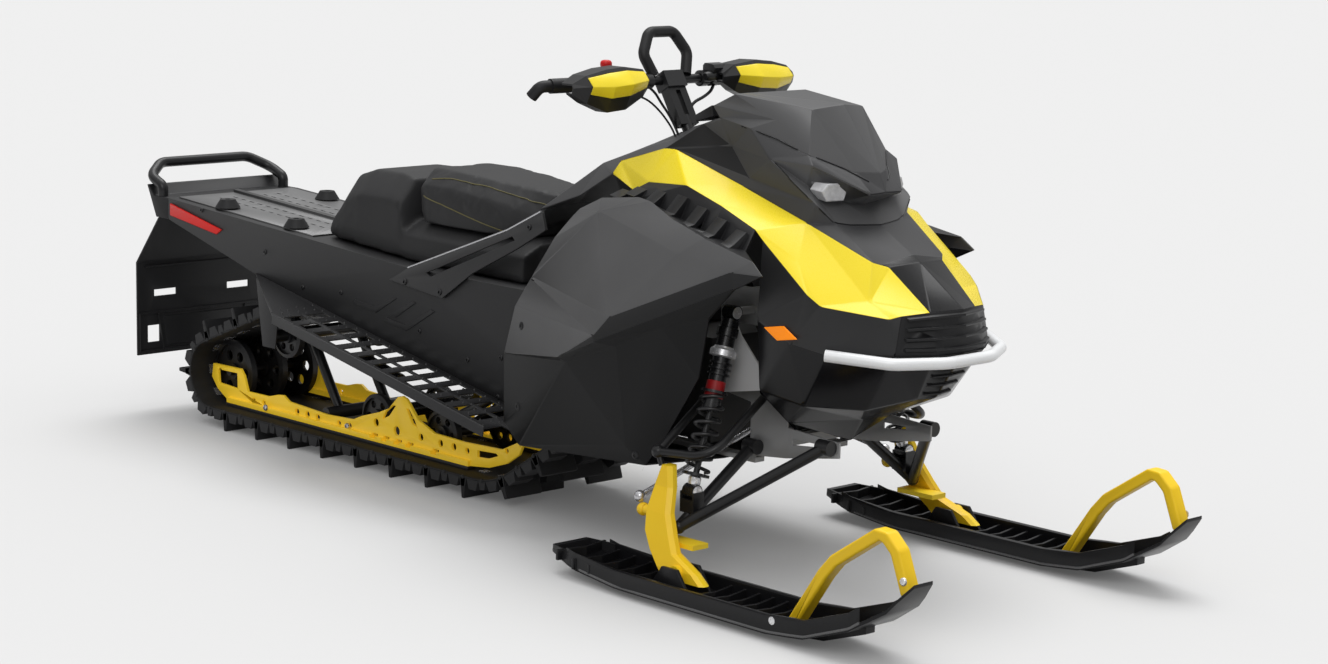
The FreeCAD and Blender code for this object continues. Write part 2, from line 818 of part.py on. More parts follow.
def nose():
    """The front fascia round both grilles."""
    facets = [
        "stripe_m stripe_l brow_line_side",
        "stripe_l brow_line_mid brow_line_side",
        "stripe_l stripe_k brow_line_mid",
        "stripe_k brow_line_front brow_line_mid",
        "stripe_k stripe_j brow_line_front",
        "stripe_j grille_low_side brow_line_front",
        "stripe_j stripe_i grille_low_side",
    ]
    facets += strip(
        ["brow_line_side", "brow_line_mid", "brow_line_front"],
        ["chin_side", "chin_mid", "chin_front"])
    facets += [
        "brow_line_front grille_low_side chin_front",
        "chin_side chin_mid keel_side",
        "chin_mid chin_front keel_front",
        "chin_mid keel_front keel_side",
        "chin_front chin_low_mid keel_front",
        "chin_low_mid chin_nose keel_nose",
        "chin_low_mid keel_nose keel_front",
        "keel_side keel_front keel_tip",
        "keel_front keel_nose keel_tip",
        "grille_low_side chin_low_mid chin_front",
        "grille_low_side grille_low_mid chin_low_mid",
        "grille_low_mid grille_low_nose chin_nose",
        "grille_low_mid chin_nose chin_low_mid",
    ]
    body = folded_panel(facets, (-1, 1))
    upper = [corner(n, 1) for n in ("grille_low_nose", "grille_low_mid")]
    lower = [corner(n, 1) for n in ("chin_nose", "chin_low_mid")]
    return slats(body, upper, lower, lower_slat_count)


def grille():
    """The upper grille panel between the brow and the bonnet, with its slats."""
    facets = [
        "nose_top stripe_h grille_low_mid",
        "nose_top grille_low_mid grille_low_nose",
        "stripe_h stripe_i grille_low_side",
        "stripe_h grille_low_side grille_low_mid",
    ]
    body = folded_panel(facets, (-1, 1))
    upper = [corner(n, 1) for n in ("nose_top", "stripe_h", "stripe_i")]
    lower = [corner(n, 1) for n in ("grille_low_nose", "grille_low_mid", "grille_low_side")]
    return slats(body, upper, lower, slat_count)


def slats(body, upper, lower, count):
    """Bent level fins fused to a grille panel, the same on both sides."""
    for index in range(count):
        share = (index + 0.5) / count
        line = [a + (b - a) * share for a, b in zip(upper, lower)]
        line[-1] = line[-2] + (line[-1] - line[-2]) * slat_reach_share
        for side in (-1, 1):
            for a, b in zip(line, line[1:]):
                first = [V(a.x + dx, side * a.y, a.z + dz) for dx, dz in slat_corners()]
                second = [V(b.x + dx, side * b.y, b.z + dz) for dx, dz in slat_corners()]
                body = body.fuse(wedge(first, second))
    return body


def slat_corners():
    """A slat's section about the panel's outer face: x and z."""
    return [(-panel_wall / 2, 0), (slat_stand, -slat_thick * 0.2),
            (slat_stand, slat_thick * 0.6), (-panel_wall / 2, slat_thick)]


def windshield():
    """The low visor over the dash, open below and behind."""
    facets = [
        "rim_rear rim_rear_side rim_front_side",
        "rim_rear rim_front_side rim_front",
        "rim_rear_side rim_corner screen_shoulder",
        "rim_rear_side screen_shoulder rim_front_side",
        "rim_corner screen_corner screen_shoulder",
        "screen_corner screen_mid screen_shoulder",
        "screen_mid screen_side screen_shoulder",
        "screen_shoulder screen_side rim_front_side",
        "rim_front_side screen_side screen_front",
        "rim_front_side screen_front screen_nose",
        "rim_front_side screen_nose rim_front",
    ]
    return folded_panel(facets, (-1, 1))


def headlight(side, cover):
    """A lamp in the brow's socket, seated against the cover."""
    back = corner("socket_side", side)
    y = back.y - side * lens_half * 0.7
    shares = [(-1.0, -0.1), (-0.6, 0.75), (0.9, 0.9), (1.0, 0.1), (0.6, -0.8), (-0.7, -0.9)]
    points = [V(back.x + panel_wall * 2, y + side * sy * lens_half,
                back.z + sz * lens_height / 2) for sy, sz in shares]
    body = Part.Face(polygon(points)).extrude(V(lens_run, 0, 0))
    pieces = body.cut(cover).Solids
    return max(pieces, key=lambda solid: solid.CenterOfMass.x)


def tunnel():
    """The sheet channel over the track, closed in front of the drive axle."""
    outline = [
        (tunnel_rear_x, tunnel_rear_top),
        (tunnel_seat_x, tunnel_seat_top),
        (tunnel_front_x, tunnel_seat_top),
        (tunnel_front_x, tunnel_front_low),
        (board_front_x, board_z(board_front_x) - board_sheet),
        (board_rear_x, board_z(board_rear_x) - board_sheet),
        (tunnel_rear_x, tunnel_rear_top - side_drop),
    ]
    outer = side_plate(outline, -tunnel_half, tunnel_half)
    low = -dash_height
    inside = [
        (tunnel_rear_x - tunnel_half, tunnel_rear_top - tunnel_sheet
         + rear_slope() * tunnel_half),
        (tunnel_seat_x, tunnel_seat_top - tunnel_sheet),
        (tunnel_front_x - tunnel_sheet, tunnel_seat_top - tunnel_sheet),
        (tunnel_front_x - tunnel_sheet, low),
        (tunnel_rear_x - tunnel_half, low),
    ]
    space = side_plate(inside, tunnel_sheet - tunnel_half, tunnel_half - tunnel_sheet)
    body = outer.cut(space)
    for x, z in (arm_top, front_arm_top):
        edge = board_z(x) - board_sheet
        hanger = [(x - hanger_half * 2, edge), (x + hanger_half * 2, edge),
                  (x + hanger_half, z - hanger_half), (x - hanger_half, z - hanger_half)]
        for side in (-1, 1):
            low = min(side * tunnel_half, side * (tunnel_half - tunnel_sheet))
            if z < edge:
                body = body.fuse(side_plate(hanger, low, low + tunnel_sheet))
    for shares in emblem_outline_shares:
        bar = shares_to_points(shares, emblem_x, emblem_run, emblem_z, emblem_rise)
        body = body.fuse(side_plate(bar, tunnel_half - tunnel_sheet / 2, tunnel_half + emblem_lift))
        body = body.fuse(side_plate(bar, -tunnel_half - emblem_lift, tunnel_sheet / 2 - tunnel_half))
    return body


def rear_slope():
    """Rise of the tunnel's top for each millimetre towards the rear."""
    return (tunnel_rear_top - tunnel_seat_top) / (tunnel_seat_x - tunnel_rear_x)


def board_z(x):
    """Height of the running boards' upper face."""
    return board_rear_z - board_slope * (x - board_rear_x)


def deck_z(x):
    """Height of the tunnel's upper face behind the seat."""
    return tunnel_rear_top - rear_slope() * (x - tunnel_rear_x)


def running_board():
    """A grated foot board with a raised outer lip (the left one)."""
    inner = tunnel_half + seat_gap
    plan = [
        (board_rear_x, inner),
        (board_front_x, inner),
        (board_front_x, well_half),
        (board_wide_x, well_half),
        (board_wide_x, board_half),
        (board_rear_x + board_taper, board_half),
    ]
    low_shift = board_slope * (board_front_x - board_rear_x)
    slab = plan_plate(plan, -board_sheet, 0)
    lip_plan = [
        (board_rear_x + board_taper, board_half - board_sheet),
        (board_wide_x, board_half - board_sheet),
        (board_wide_x, board_half),
        (board_rear_x + board_taper, board_half),
    ]
    slab = slab.fuse(plan_plate(lip_plan, -board_lip, board_sheet))
    cuts = []
    x = board_rear_x + board_taper + slot_margin
    while x + slot_width < board_wide_x - slot_margin:
        middle = (inner + board_half) / 2
        for y_low, y_high in ((inner + slot_margin, middle - slot_margin / 4),
                              (middle + slot_margin / 4, board_half - slot_margin)):
            cuts.append(plan_plate([(x, y_low), (x + slot_width, y_low),
                                    (x + slot_width, y_high), (x, y_high)],
                                   -board_lip, board_lip))
        x += slot_pitch
    slab = slab.cut(Part.makeCompound(cuts))
    slope = math.degrees(math.atan2(low_shift, board_front_x - board_rear_x))
    slab.rotate(V(board_rear_x, 0, 0), LEFT, slope)
    slab.translate(V(0, 0, board_rear_z))
    return slab


def belt_wire(offset, y):
    """The track's path, offset outwards from the wheels' rims."""
    circles = [
        (rear_axle_x, inner_z + wheel_radius, wheel_radius + offset),
        (rail_nose_x, inner_z + nose_bend, nose_bend + offset),
        (drive_x, drive_z, wheel_radius + offset),
        (carrier_x, carrier_z, idler_radius + offset),
    ]
    runs = []
    for (x1, z1, r1), (x2, z2, r2) in zip(circles, circles[1:] + circles[:1]):
        gap = math.hypot(x2 - x1, z2 - z1)
        way = math.atan2(z2 - z1, x2 - x1) + math.asin((r1 - r2) / gap)
        out = (math.sin(way), -math.cos(way))
        runs.append(((x1 + out[0] * r1, z1 + out[1] * r1),
                     (x2 + out[0] * r2, z2 + out[1] * r2), out))
    edges = []
    for (start, end, out), (after, _, next_out), circle in zip(
            runs, runs[1:] + runs[:1], circles[1:] + circles[:1]):
        x, z, radius = circle
        low_way = math.atan2(out[1], out[0])
        high_way = math.atan2(next_out[1], next_out[0])
        if high_way < low_way:
            high_way += 2 * math.pi
        middle_way = (low_way + high_way) / 2
        middle = V(x + radius * math.cos(middle_way), y, z + radius * math.sin(middle_way))
        edges.append(Part.makeLine(V(start[0], y, start[1]), V(end[0], y, end[1])))
        edges.append(Part.Arc(V(end[0], y, end[1]), middle,
                              V(after[0], y, after[1])).toShape())
    return Part.Wire(edges)


def lug(y_low, y_high):
    """One rubber paddle standing on the band, tapered to its tip."""
    outline = [
        (-lug_base / 2, -lug_sink),
        (lug_base / 2, -lug_sink),
        (lug_tip / 2, lug_height),
        (-lug_tip / 2, lug_height),
    ]
    return side_plate(outline, y_low, y_high)


def track():
    """The band with its lugs: side paddles and centre paddles by turns."""
    half = track_width / 2
    outer = Part.Face(belt_wire(band, -half)).extrude(V(0, track_width, 0))
    inner = Part.Face(belt_wire(0, -half)).extrude(V(0, track_width, 0))
    ring = outer.cut(inner)
    path = belt_wire(band, 0)
    step = path.Length / lug_count
    points = path.discretize(Number=lug_count * 4 + 1)
    lugs = []
    for index in range(lug_count):
        here = points[index * 4]
        ahead = points[index * 4 + 1]
        back = points[index * 4 - 1] if index else points[-2]
        way = (ahead - back).normalize()
        angle = math.degrees(math.atan2(way.z, way.x))
        if index % 2:
            spans = [(-half, -half + outer_lug_share * track_width),
                     (half - outer_lug_share * track_width, half)]
        else:
            spans = [(-centre_lug_share * half, centre_lug_share * half)]
        for y_low, y_high in spans:
            piece = lug(y_low, y_high)
            piece.rotate(V(0, 0, 0), LEFT, 180.0 - angle)
            piece.translate(here)
            lugs.append(piece)
    return solid_of(ring.fuse(lugs))


def wheel(x, y, z, radius):
    """A dished idler wheel with a rubber rim and spoke windows."""
    half = wheel_width / 2
    rim = radius * 0.16
    profile = [
        (axle_radius + seat_gap, -half), (axle_radius * 2, -half),
        (axle_radius * 2, -half / 3), (radius - rim, -half / 3),
        (radius - rim, -half), (radius, -half * 0.7), (radius, half * 0.7),
        (radius - rim, half), (radius - rim, half / 3),
        (axle_radius * 2, half / 3), (axle_radius * 2, half),
        (axle_radius + seat_gap, half),
    ]
    face = Part.Face(polygon([V(x + r, y + w, z) for r, w in profile]))
    body = face.revolve(V(x, y, z), LEFT, 360)
    windows = []
    for step in range(6):
        turn = math.radians(step * 60)
        reach = (axle_radius * 2 + radius - rim) / 2
        place = V(x + reach * math.cos(turn), y - half, z + reach * math.sin(turn))
        windows.append(Part.makeCylinder(rim, wheel_width, place, LEFT))
    return body.cut(Part.makeCompound(windows))


def rear_axle():
    """The rear axle with its wheels, which the rails hold."""
    z = inner_z + wheel_radius
    reach = rail_y - rail_web / 2 - seat_gap
    parts = [rod(V(rear_axle_x, -reach, z), V(rear_axle_x, reach, z), axle_radius)]
    for y in (-reach + wheel_width, 0, reach - wheel_width):
        parts.append(wheel(rear_axle_x, y, z, wheel_radius - seat_gap))
    return Part.makeCompound(parts)


def rail_point(sx, sz):
    return (rail_rear_x + sx * rail_length, inner_z + slide_height + sz * rail_height)


def rail():
    """One suspension rail (the left one): a pierced web on a wider foot."""
    outline = [rail_point(sx, sz) for sx, sz in rail_outline_shares]
    web = side_plate(outline, rail_y - rail_web / 2, rail_y + rail_web / 2)
    x0, z0 = rail_point(rail_foot_shares[0], 0.0)
    x1, _ = rail_point(rail_foot_shares[1], 0.0)
    foot = side_plate([(x0, z0), (x1, z0), (x1, z0 + rail_foot_height),
                       (x0, z0 + rail_foot_height)],
                      rail_y - rail_foot / 2, rail_y + rail_foot / 2)
    body = web.fuse(foot)
    cuts = []
    for sx, sz, radius_share in rail_hole_shares:
        x, z = rail_point(sx, sz)
        radius = radius_share * rail_height
        cuts.append(rod(V(x, rail_y - rail_foot, z), V(x, rail_y + rail_foot, z), radius))
    for shares in rail_window_shares:
        window = [rail_point(sx, sz) for sx, sz in shares]
        cuts.append(side_plate(window, rail_y - rail_foot, rail_y + rail_foot))
    return body.cut(Part.makeCompound(cuts)).removeSplitter()


def slide():
    """The plastic runner under a rail."""
    x0, z0 = rail_point(rail_foot_shares[0], 0.0)
    x1, _ = rail_point(rail_foot_shares[1], 0.0)
    return side_plate([(x0, inner_z), (x1, inner_z), (x1, z0), (x0, z0)],
                      rail_y - rail_foot / 2, rail_y + rail_foot / 2)


def carrier_wheels():
    """The wheels on the rear arm's shaft that lift the track's upper run."""
    parts = []
    for y in (-carrier_y, carrier_y):
        piece = wheel(carrier_x, y, carrier_z, idler_radius - seat_gap)
        shaft = rod(V(carrier_x, y - wheel_width, carrier_z),
                    V(carrier_x, y + wheel_width, carrier_z), cross_radius + seat_gap)
        parts.append(piece.cut(shaft))
    return parts


def idler_wheels():
    """The small wheels that carry the track between the rails."""
    parts = carrier_wheels()
    z = inner_z + idler_radius + seat_gap
    reach = rail_y - rail_web / 2 - seat_gap
    for x in idler_places:
        parts.append(rod(V(x, -reach, z), V(x, reach, z), axle_radius))
        for y in (-reach + wheel_width, reach - wheel_width):
            parts.append(wheel(x, y, z, idler_radius))
    return Part.makeCompound(parts)


def suspension_arm(foot, top, spread):
    """A swing arm: two cross tubes and two side bars."""
    low = V(foot[0], 0, foot[1])
    high = V(top[0], 0, top[1])
    reach = rail_y - rail_web / 2 - seat_gap
    wide = tunnel_half - tunnel_sheet - seat_gap
    parts = [
        rod(low - LEFT * reach, low + LEFT * reach, cross_radius),
        rod(high - LEFT * wide, high + LEFT * wide, cross_radius),
    ]
    for side in (-1, 1):
        parts.append(rod(low + LEFT * side * spread, high + LEFT * side * spread,
                         arm_bar))
    body = parts[0]
    for part in parts[1:]:
        body = body.fuse(part)
    return body


def drive_axle():
    """The drive shaft with its two sprockets."""
    reach = tunnel_half - tunnel_sheet - seat_gap
    shaft = rod(V(drive_x, -reach, drive_z), V(drive_x, reach, drive_z), axle_radius * 1.4)
    for y in (-track_width / 6, track_width / 6):
        disc = Part.makeCylinder(wheel_radius - seat_gap, wheel_width,
                                 V(drive_x, y - wheel_width / 2, drive_z), LEFT)
        shaft = shaft.fuse(disc)
    return shaft


def damper(low, high, body_share):
    """A shock absorber: body tube, shaft, eyes."""
    way = (high - low).normalize()
    split = low + (high - low) * body_share
    neck = high - way * eye_radius
    length = (high - low).Length
    parts = rod(low, split, shaft_radius).fuse(rod(split, neck, damper_radius))
    for share in (spring_start_share, spring_end_share):
        middle = low + way * length * share
        parts = parts.fuse(rod(middle - way * perch_thick, middle, spring_radius + spring_wire))
    for end in (low, high):
        parts = parts.fuse(Part.makeCylinder(eye_radius, eye_radius * 2,
                                             end - AHEAD * eye_radius, AHEAD))
    return parts


def rear_shock():
    """The damper between the rails, from the rear arm to the rails' tower."""
    low = V(rear_shock_foot[0], 0, rear_shock_foot[1])
    high = V(rear_shock_top[0], 0, rear_shock_top[1])
    way = (high - low).normalize()
    split = low + (high - low) / 2
    body = rod(low, split, shaft_radius).fuse(rod(split, high, damper_radius))
    reach = rail_y - rail_web / 2 - seat_gap
    return body.fuse(rod(low - LEFT * reach, low + LEFT * reach, eye_radius)).fuse(
        rod(high - LEFT * eye_radius, high + LEFT * eye_radius, eye_radius))


def spring(low, high):
    """The coil of round wire between a damper's two perches."""
    way = (high - low).normalize()
    length = (high - low).Length
    room = spring_wire + seat_gap
    start = length * spring_start_share + room
    rise = length * spring_end_share - perch_thick - room - start
    helix = Part.makeHelix(rise / spring_turns, rise, spring_radius)
    ring = Part.Wire(Part.makeCircle(spring_wire, V(spring_radius, 0, 0), LEFT))
    coil = solid_of(Part.Wire(helix.Edges).makePipeShell([ring], True, True))
    coil.Placement = FreeCAD.Placement(low + way * start, FreeCAD.Rotation(UP, way))
    return coil


def side_point(place, side):
    x, y, z = place
    return V(x, side * y, z)


def front_shock(side):
    low = side_point(shock_low, side)
    high = side_point(shock_high, side)
    return damper(low, high, 0.45)


def kingpin_axis():
    return V(-math.sin(rake), 0, math.cos(rake))


def lower_ball(side):
    return V(lower_ball_x, side * kingpin_y, lower_ball_z)


def upper_ball(side):
    return lower_ball(side) + kingpin_axis() * kingpin_length


def upper_arm(side):
    """The upper wishbone: its front leg bends round the shock absorber."""
    tube = arm_tube * 0.72
    bush_radius = tube * 1.5
    end = upper_ball(side)
    knee = side_point(upper_knee, side)
    front = V(upper_front_pivot[0], side * (bulk_half + bush_radius + seat_gap),
              upper_front_pivot[1])
    rear = V(upper_rear_pivot[0], front.y, upper_rear_pivot[1])
    body = bent_bar([end, knee, front], tube, knee_bend).fuse(rod(rear, end, tube))
    body = body.fuse(Part.makeSphere(ball_radius, end))
    body = body.fuse(rod(end, stud_seat(side) + kingpin_axis() * seat_gap, stud_radius))
    for pivot in (front, rear):
        body = body.fuse(Part.makeCylinder(bush_radius, pivot_length,
                                           pivot - AHEAD * pivot_length / 2, AHEAD))
    return body


def stud_seat(side):
    """The middle of the spindle's seat under the upper ball joint."""
    return upper_ball(side) - kingpin_axis() * (ball_radius + swing_gap * 2)


def lower_arm(side):
    """The lower wishbone with the clevis of the shock absorber."""
    body = a_arm(lower_front_pivot, lower_rear_pivot, lower_ball, side, arm_tube)
    eye = side_point(shock_low, side)
    half = eye_radius + seat_gap + bulk_plate
    body = body.fuse(Part.makeBox(half * 2, eye_radius * 2,
                                  eye.z - eye_radius - seat_gap - clevis_z,
                                  V(eye.x - half, eye.y - eye_radius, clevis_z)))
    for x in (eye.x - half, eye.x + half - bulk_plate):
        body = body.fuse(Part.makeBox(bulk_plate, eye_radius * 2, eye.z - clevis_z,
                                      V(x, eye.y - eye_radius, clevis_z)))
    return body


def a_arm(front, rear, ball, side, tube):
    """Two tubes from the frame's pivots to one ball joint."""
    bush_radius = tube * 1.3
    end = ball(side)
    body = Part.makeSphere(ball_radius, end)
    for x, z in (front, rear):
        pivot = V(x, side * (bulk_half + bush_radius + seat_gap), z)
        body = body.fuse(rod(pivot, end, tube))
        bush = Part.makeCylinder(bush_radius, pivot_length,
                                 pivot - AHEAD * pivot_length / 2, AHEAD)
        body = body.fuse(bush)
    return body


def spindle(side):
    """The steered casting between the ball joints and the ski's bolt."""
    top_z = upper_ball(side).z - ball_radius - swing_gap
    rise = top_z - spindle_low_z
    sections = []
    for share, rear, front, out in spindle_section_shares:
        y_mid = side * (kingpin_y + out * (stance_half - kingpin_y))
        x0 = spindle_x + rear * spindle_run
        x1 = spindle_x + front * spindle_run
        z = spindle_low_z + share * rise
        bevel = leg_half * 0.6
        sections.append(polygon([
            V(x0 + bevel, y_mid - leg_half, z), V(x1 - bevel, y_mid - leg_half, z),
            V(x1, y_mid - leg_half + bevel, z), V(x1, y_mid + leg_half - bevel, z),
            V(x1 - bevel, y_mid + leg_half, z), V(x0 + bevel, y_mid + leg_half, z),
            V(x0, y_mid + leg_half - bevel, z), V(x0, y_mid - leg_half + bevel, z)]))
    body = Part.makeLoft(sections, True, True)
    foot = Part.makeCylinder(ski_bolt_radius * 2.2, foot_half * 2,
                             V(ski_bolt_x, side * stance_half - foot_half, ski_bolt_z), LEFT)
    ear_y = [side * (kingpin_y - ball_radius), side * (kingpin_y + (stance_half - kingpin_y) / 2)]
    ear_z = lower_ball_z - ball_radius - swing_gap
    ear = Part.makeBox(ear_run, max(ear_y) - min(ear_y), ear_thick,
                       V(lower_ball_x - ear_run * 0.3, min(ear_y), ear_z - ear_thick))
    arm_end = V(steer_arm_x, side * steer_arm_y, steer_arm_z) - kingpin_axis() * ball_radius
    hub = V(spindle_x + spindle_run * 0.2, side * (kingpin_y + leg_half), arm_end.z)
    body = body.fuse(foot).fuse(ear)
    body = body.fuse(Part.makeSphere(ball_radius, arm_end)).fuse(rod(hub, arm_end, ball_radius * 0.8))
    bore = rod(V(ski_bolt_x, side * stance_half - ski_half, ski_bolt_z),
               V(ski_bolt_x, side * stance_half + ski_half, ski_bolt_z), ski_bolt_radius)
    seat_cut = rod(stud_seat(side), upper_ball(side), stud_radius + swing_gap)
    return body.cut(bore).cut(seat_cut)


def tie_rod(side):
    """The link from the column's foot to the spindle's arm."""
    outer = V(steer_arm_x, side * steer_arm_y, steer_arm_z)
    outer = outer + kingpin_axis() * (rod_end_radius + seat_gap)
    inner = V(tie_inner_x, side * tie_inner_y, tie_inner_z)
    body = rod(outer, inner, tie_radius)
    body = body.fuse(Part.makeSphere(rod_end_radius, inner))
    return body.fuse(Part.makeSphere(rod_end_radius, outer))


def ski_point(sx, sz):
    return (ski_rear_x + sx * ski_length, keel_depth + sz * (ski_tip_z - keel_depth))


def height_on(line, x):
    """The height of a line of points at one x."""
    for (x0, z0), (x1, z1) in zip(line, line[1:]):
        if x <= x1:
            return z0 + (z1 - z0) * (x - x0) / (x1 - x0)
    return line[-1][1]


def ski(side):
    """A ski: curved skin with side walls, cross ribs, keel and saddle."""
    bottom = [ski_point(sx, sz) for sx, sz in ski_bottom_shares]
    top = [(x, z + ski_skin) for x, z in bottom]
    skin = side_plate(bottom + top[::-1], -ski_half, ski_half)
    wall_top = [(x, z + ski_deck_z) for x, z in bottom]
    walls = side_plate(bottom + wall_top[::-1], -ski_half, ski_half)
    x0 = ski_rear_x
    inside = side_plate([(x0 - ski_half, 0), (x0 + 2 * ski_length, 0),
                         (x0 + 2 * ski_length, dash_height), (x0 - ski_half, dash_height)],
                        ski_skin * 2 - ski_half, ski_half - ski_skin * 2)
    body = skin.fuse(walls.cut(inside))
    keel_line = [(x, z) for x, z in bottom[1:6]]
    keel_outline = keel_line + [(x, z - keel_depth) for x, z in keel_line[::-1]]
    body = body.fuse(side_plate(keel_outline, -keel_half, keel_half))
    plan = [(ski_rear_x + sx * ski_length, sy * ski_half) for sx, sy in ski_plan_shares]
    plan += [(x, -y) for x, y in plan[::-1]]
    body = body.common(plan_plate(plan, -keel_depth, ski_tip_z + dash_height))
    floor = [(x, z + ski_skin) for x, z in bottom]
    for sx in ski_rib_shares:
        x = ski_rear_x + sx * ski_length
        z = height_on(floor, x)
        for way in (-1, 1):
            rib = plan_plate([
                (x, 0), (x + rib_thick, 0), (x + rib_thick - rib_sweep, way * (ski_half - ski_skin)),
                (x - rib_sweep, way * (ski_half - ski_skin))][::way], z - ski_skin / 2, z + rib_rise)
            body = body.fuse(rib)
    for y in (-1, 1):
        y_in = y * (foot_half + swing_gap)
        y_out = y * (foot_half + swing_gap + ski_skin)
        low, high = min(y_in, y_out), max(y_in, y_out)
        cheek = side_plate([
            (ski_bolt_x - saddle_run, keel_depth), (ski_bolt_x + saddle_run, keel_depth),
            (ski_bolt_x + saddle_run / 3, ski_bolt_z + ski_bolt_radius * 2),
            (ski_bolt_x - saddle_run / 3, ski_bolt_z + ski_bolt_radius * 2)], low, high)
        body = body.fuse(cheek)
    reach = foot_half + swing_gap + ski_skin
    bolt = rod(V(ski_bolt_x, -reach, ski_bolt_z), V(ski_bolt_x, reach, ski_bolt_z),
               ski_bolt_radius - pin_gap)
    body = body.fuse(bolt)
    body.translate(V(0, side * stance_half, 0))
    return body


def ski_loop(side):
    """The bent flat bar over a ski's tip."""
    outer = shares_to_points(loop_outline_shares, loop_x, loop_run, loop_z, loop_rise)
    inner = []
    count = len(outer)
    for index, (x, z) in enumerate(outer):
        x1, z1 = outer[max(index - 1, 0)]
        x2, z2 = outer[min(index + 1, count - 1)]
        length = math.hypot(x2 - x1, z2 - z1)
        inner.append((x + (z2 - z1) / length * loop_bar, z - (x2 - x1) / length * loop_bar))
    y = side * stance_half
    bar = side_plate(outer + inner[::-1], y - loop_half, y + loop_half)
    deck = [(x, z + ski_skin + seat_gap) for x, z in
            [ski_point(sx, sz) for sx, sz in ski_bottom_shares]]
    under = side_plate(deck + [(deck[-1][0], 0), (deck[0][0], 0)], y - ski_half, y + ski_half)
    return solid_of(bar.cut(under))


def bulkhead():
    """The front frame: two side plates joined above and in front."""
    outline_shares = [
        (0.0, 1.0), (0.565, 1.0), (0.58, 0.215), (1.0, 0.19), (1.0, 0.10), (0.57, 0.03),
        (0.27, 0.0), (0.27, 0.32), (0.0, 0.36),
    ]
    outline = shares_to_points(outline_shares, bulk_x, bulk_run, bulk_z, bulk_rise)
    plate = side_plate(outline, bulk_half - bulk_plate, bulk_half)
    for shares in bulk_window_shares:
        window = shares_to_points(shares, bulk_x, bulk_run, bulk_z, bulk_rise)
        plate = plate.cut(side_plate(window, bulk_half - bulk_plate * 2, bulk_half + bulk_plate))
    body = plate.fuse(mirrored(plate))
    top = bulk_z + bulk_rise
    lid = Part.makeBox(lid_run, bulk_half * 2, bulk_plate,
                       V(bulk_x + post_room, -bulk_half, top - bulk_plate))
    foot = column_foot()
    bar_top = foot.z - post_radius * math.sin(post_tilt) - seat_gap
    bar = Part.makeBox(bearing_bar, bulk_half * 2, bearing_bar,
                       V(foot.x - bearing_bar * 0.8, -bulk_half, bar_top - bearing_bar))
    body = body.fuse(lid).fuse(bar)
    for side in (-1, 1):
        beam = Part.makeBox(bulk_x + post_room * 1.3 - tunnel_front_x, beam_width, beam_height,
                            V(tunnel_front_x + seat_gap,
                              side * (bulk_half - beam_width / 2) - beam_width / 2, beam_z))
        eye = side_point(shock_high, side)
        stub = rod(V(eye.x, side * (bulk_half - bulk_plate), eye.z),
                   eye - V(0, side * (eye_radius + seat_gap), 0), stub_radius)
        web = side_plate([(bulk_x + post_room, beam_z), (bulk_x + post_room * 1.3, beam_z),
                          (bulk_x + post_room * 1.3, bulk_z + bulk_plate),
                          (bulk_x + post_room * 1.1, bulk_z + bulk_plate)],
                         min(side * bulk_half, side * (bulk_half - bulk_plate)),
                         max(side * bulk_half, side * (bulk_half - bulk_plate)))
        body = body.fuse(beam).fuse(stub).fuse(web)
    return body


def column_foot():
    return V(bar_x, 0, bar_z) - post_direction() * post_length


def engine():
    """The engine as one block, between the tunnel and the steering post."""
    base = corner("panel_o", 1).z + panel_wall + engine_stand
    return Part.makeBox(engine_run, engine_half * 2, engine_rise,
                        V(tunnel_front_x + seat_gap, -engine_half, base))


def belly_pan():
    """The floor under the engine bay, round the front of the tunnel."""
    rear = corner("panel_n", 1)
    front = corner("panel_o", 1)
    slope = (front.z - rear.z) / (front.x - rear.x)
    rear_half = inner_corner(rear).y - seat_gap
    front_half = inner_corner(front).y - seat_gap
    x0 = board_front_x + seat_gap
    inner = tunnel_half + seat_gap
    plan = [
        (x0, inner), (x0, well_half + seat_gap), (rear.x, well_half + seat_gap),
        (rear.x, rear_half), (front.x, front_half),
        (bulk_x + belly_tongue, bulk_half),
        (bulk_x + belly_tongue, 0), (tunnel_front_x + seat_gap, 0),
        (tunnel_front_x + seat_gap, inner),
    ]
    slab = plan_plate(plan, 0, panel_wall)
    slab = slab.fuse(mirrored(slab)).removeSplitter()
    slab.rotate(V(x0, 0, 0), LEFT, -math.degrees(math.atan(slope)))
    slab.translate(V(0, 0, rear.z + slope * (x0 - rear.x)))
    return slab


def cushion_section(x, low, high, half, shares):
    """One closed section of a soft form: a crown, two shoulders and a foot on each side."""
    crown, shoulder, foot, level, lean = shares
    rise = high - low
    rows = [(0.0, foot * 0.97), (0.25, foot), (level, shoulder), (1.0, crown)]
    right = [V(x + lean * rise * (1 - share), -half * wide, low + share * rise)
             for share, wide in rows]
    return right + [V(p.x, -p.y, p.z) for p in right[::-1]]


def seat():
    """The rider's cushion: a crowned saddle that narrows towards the console."""
    low = tunnel_seat_top + seat_lift
    sections = []
    for run, height, crown, shoulder, foot, level, lean in seat_section_shares:
        x = seat_rear_x + run * (seat_front_x - seat_rear_x)
        sections.append(cushion_section(x, low, low + height * (seat_top - low),
                                        seat_side_half, (crown, shoulder, foot, level, lean)))
    return ruled_solid(sections)


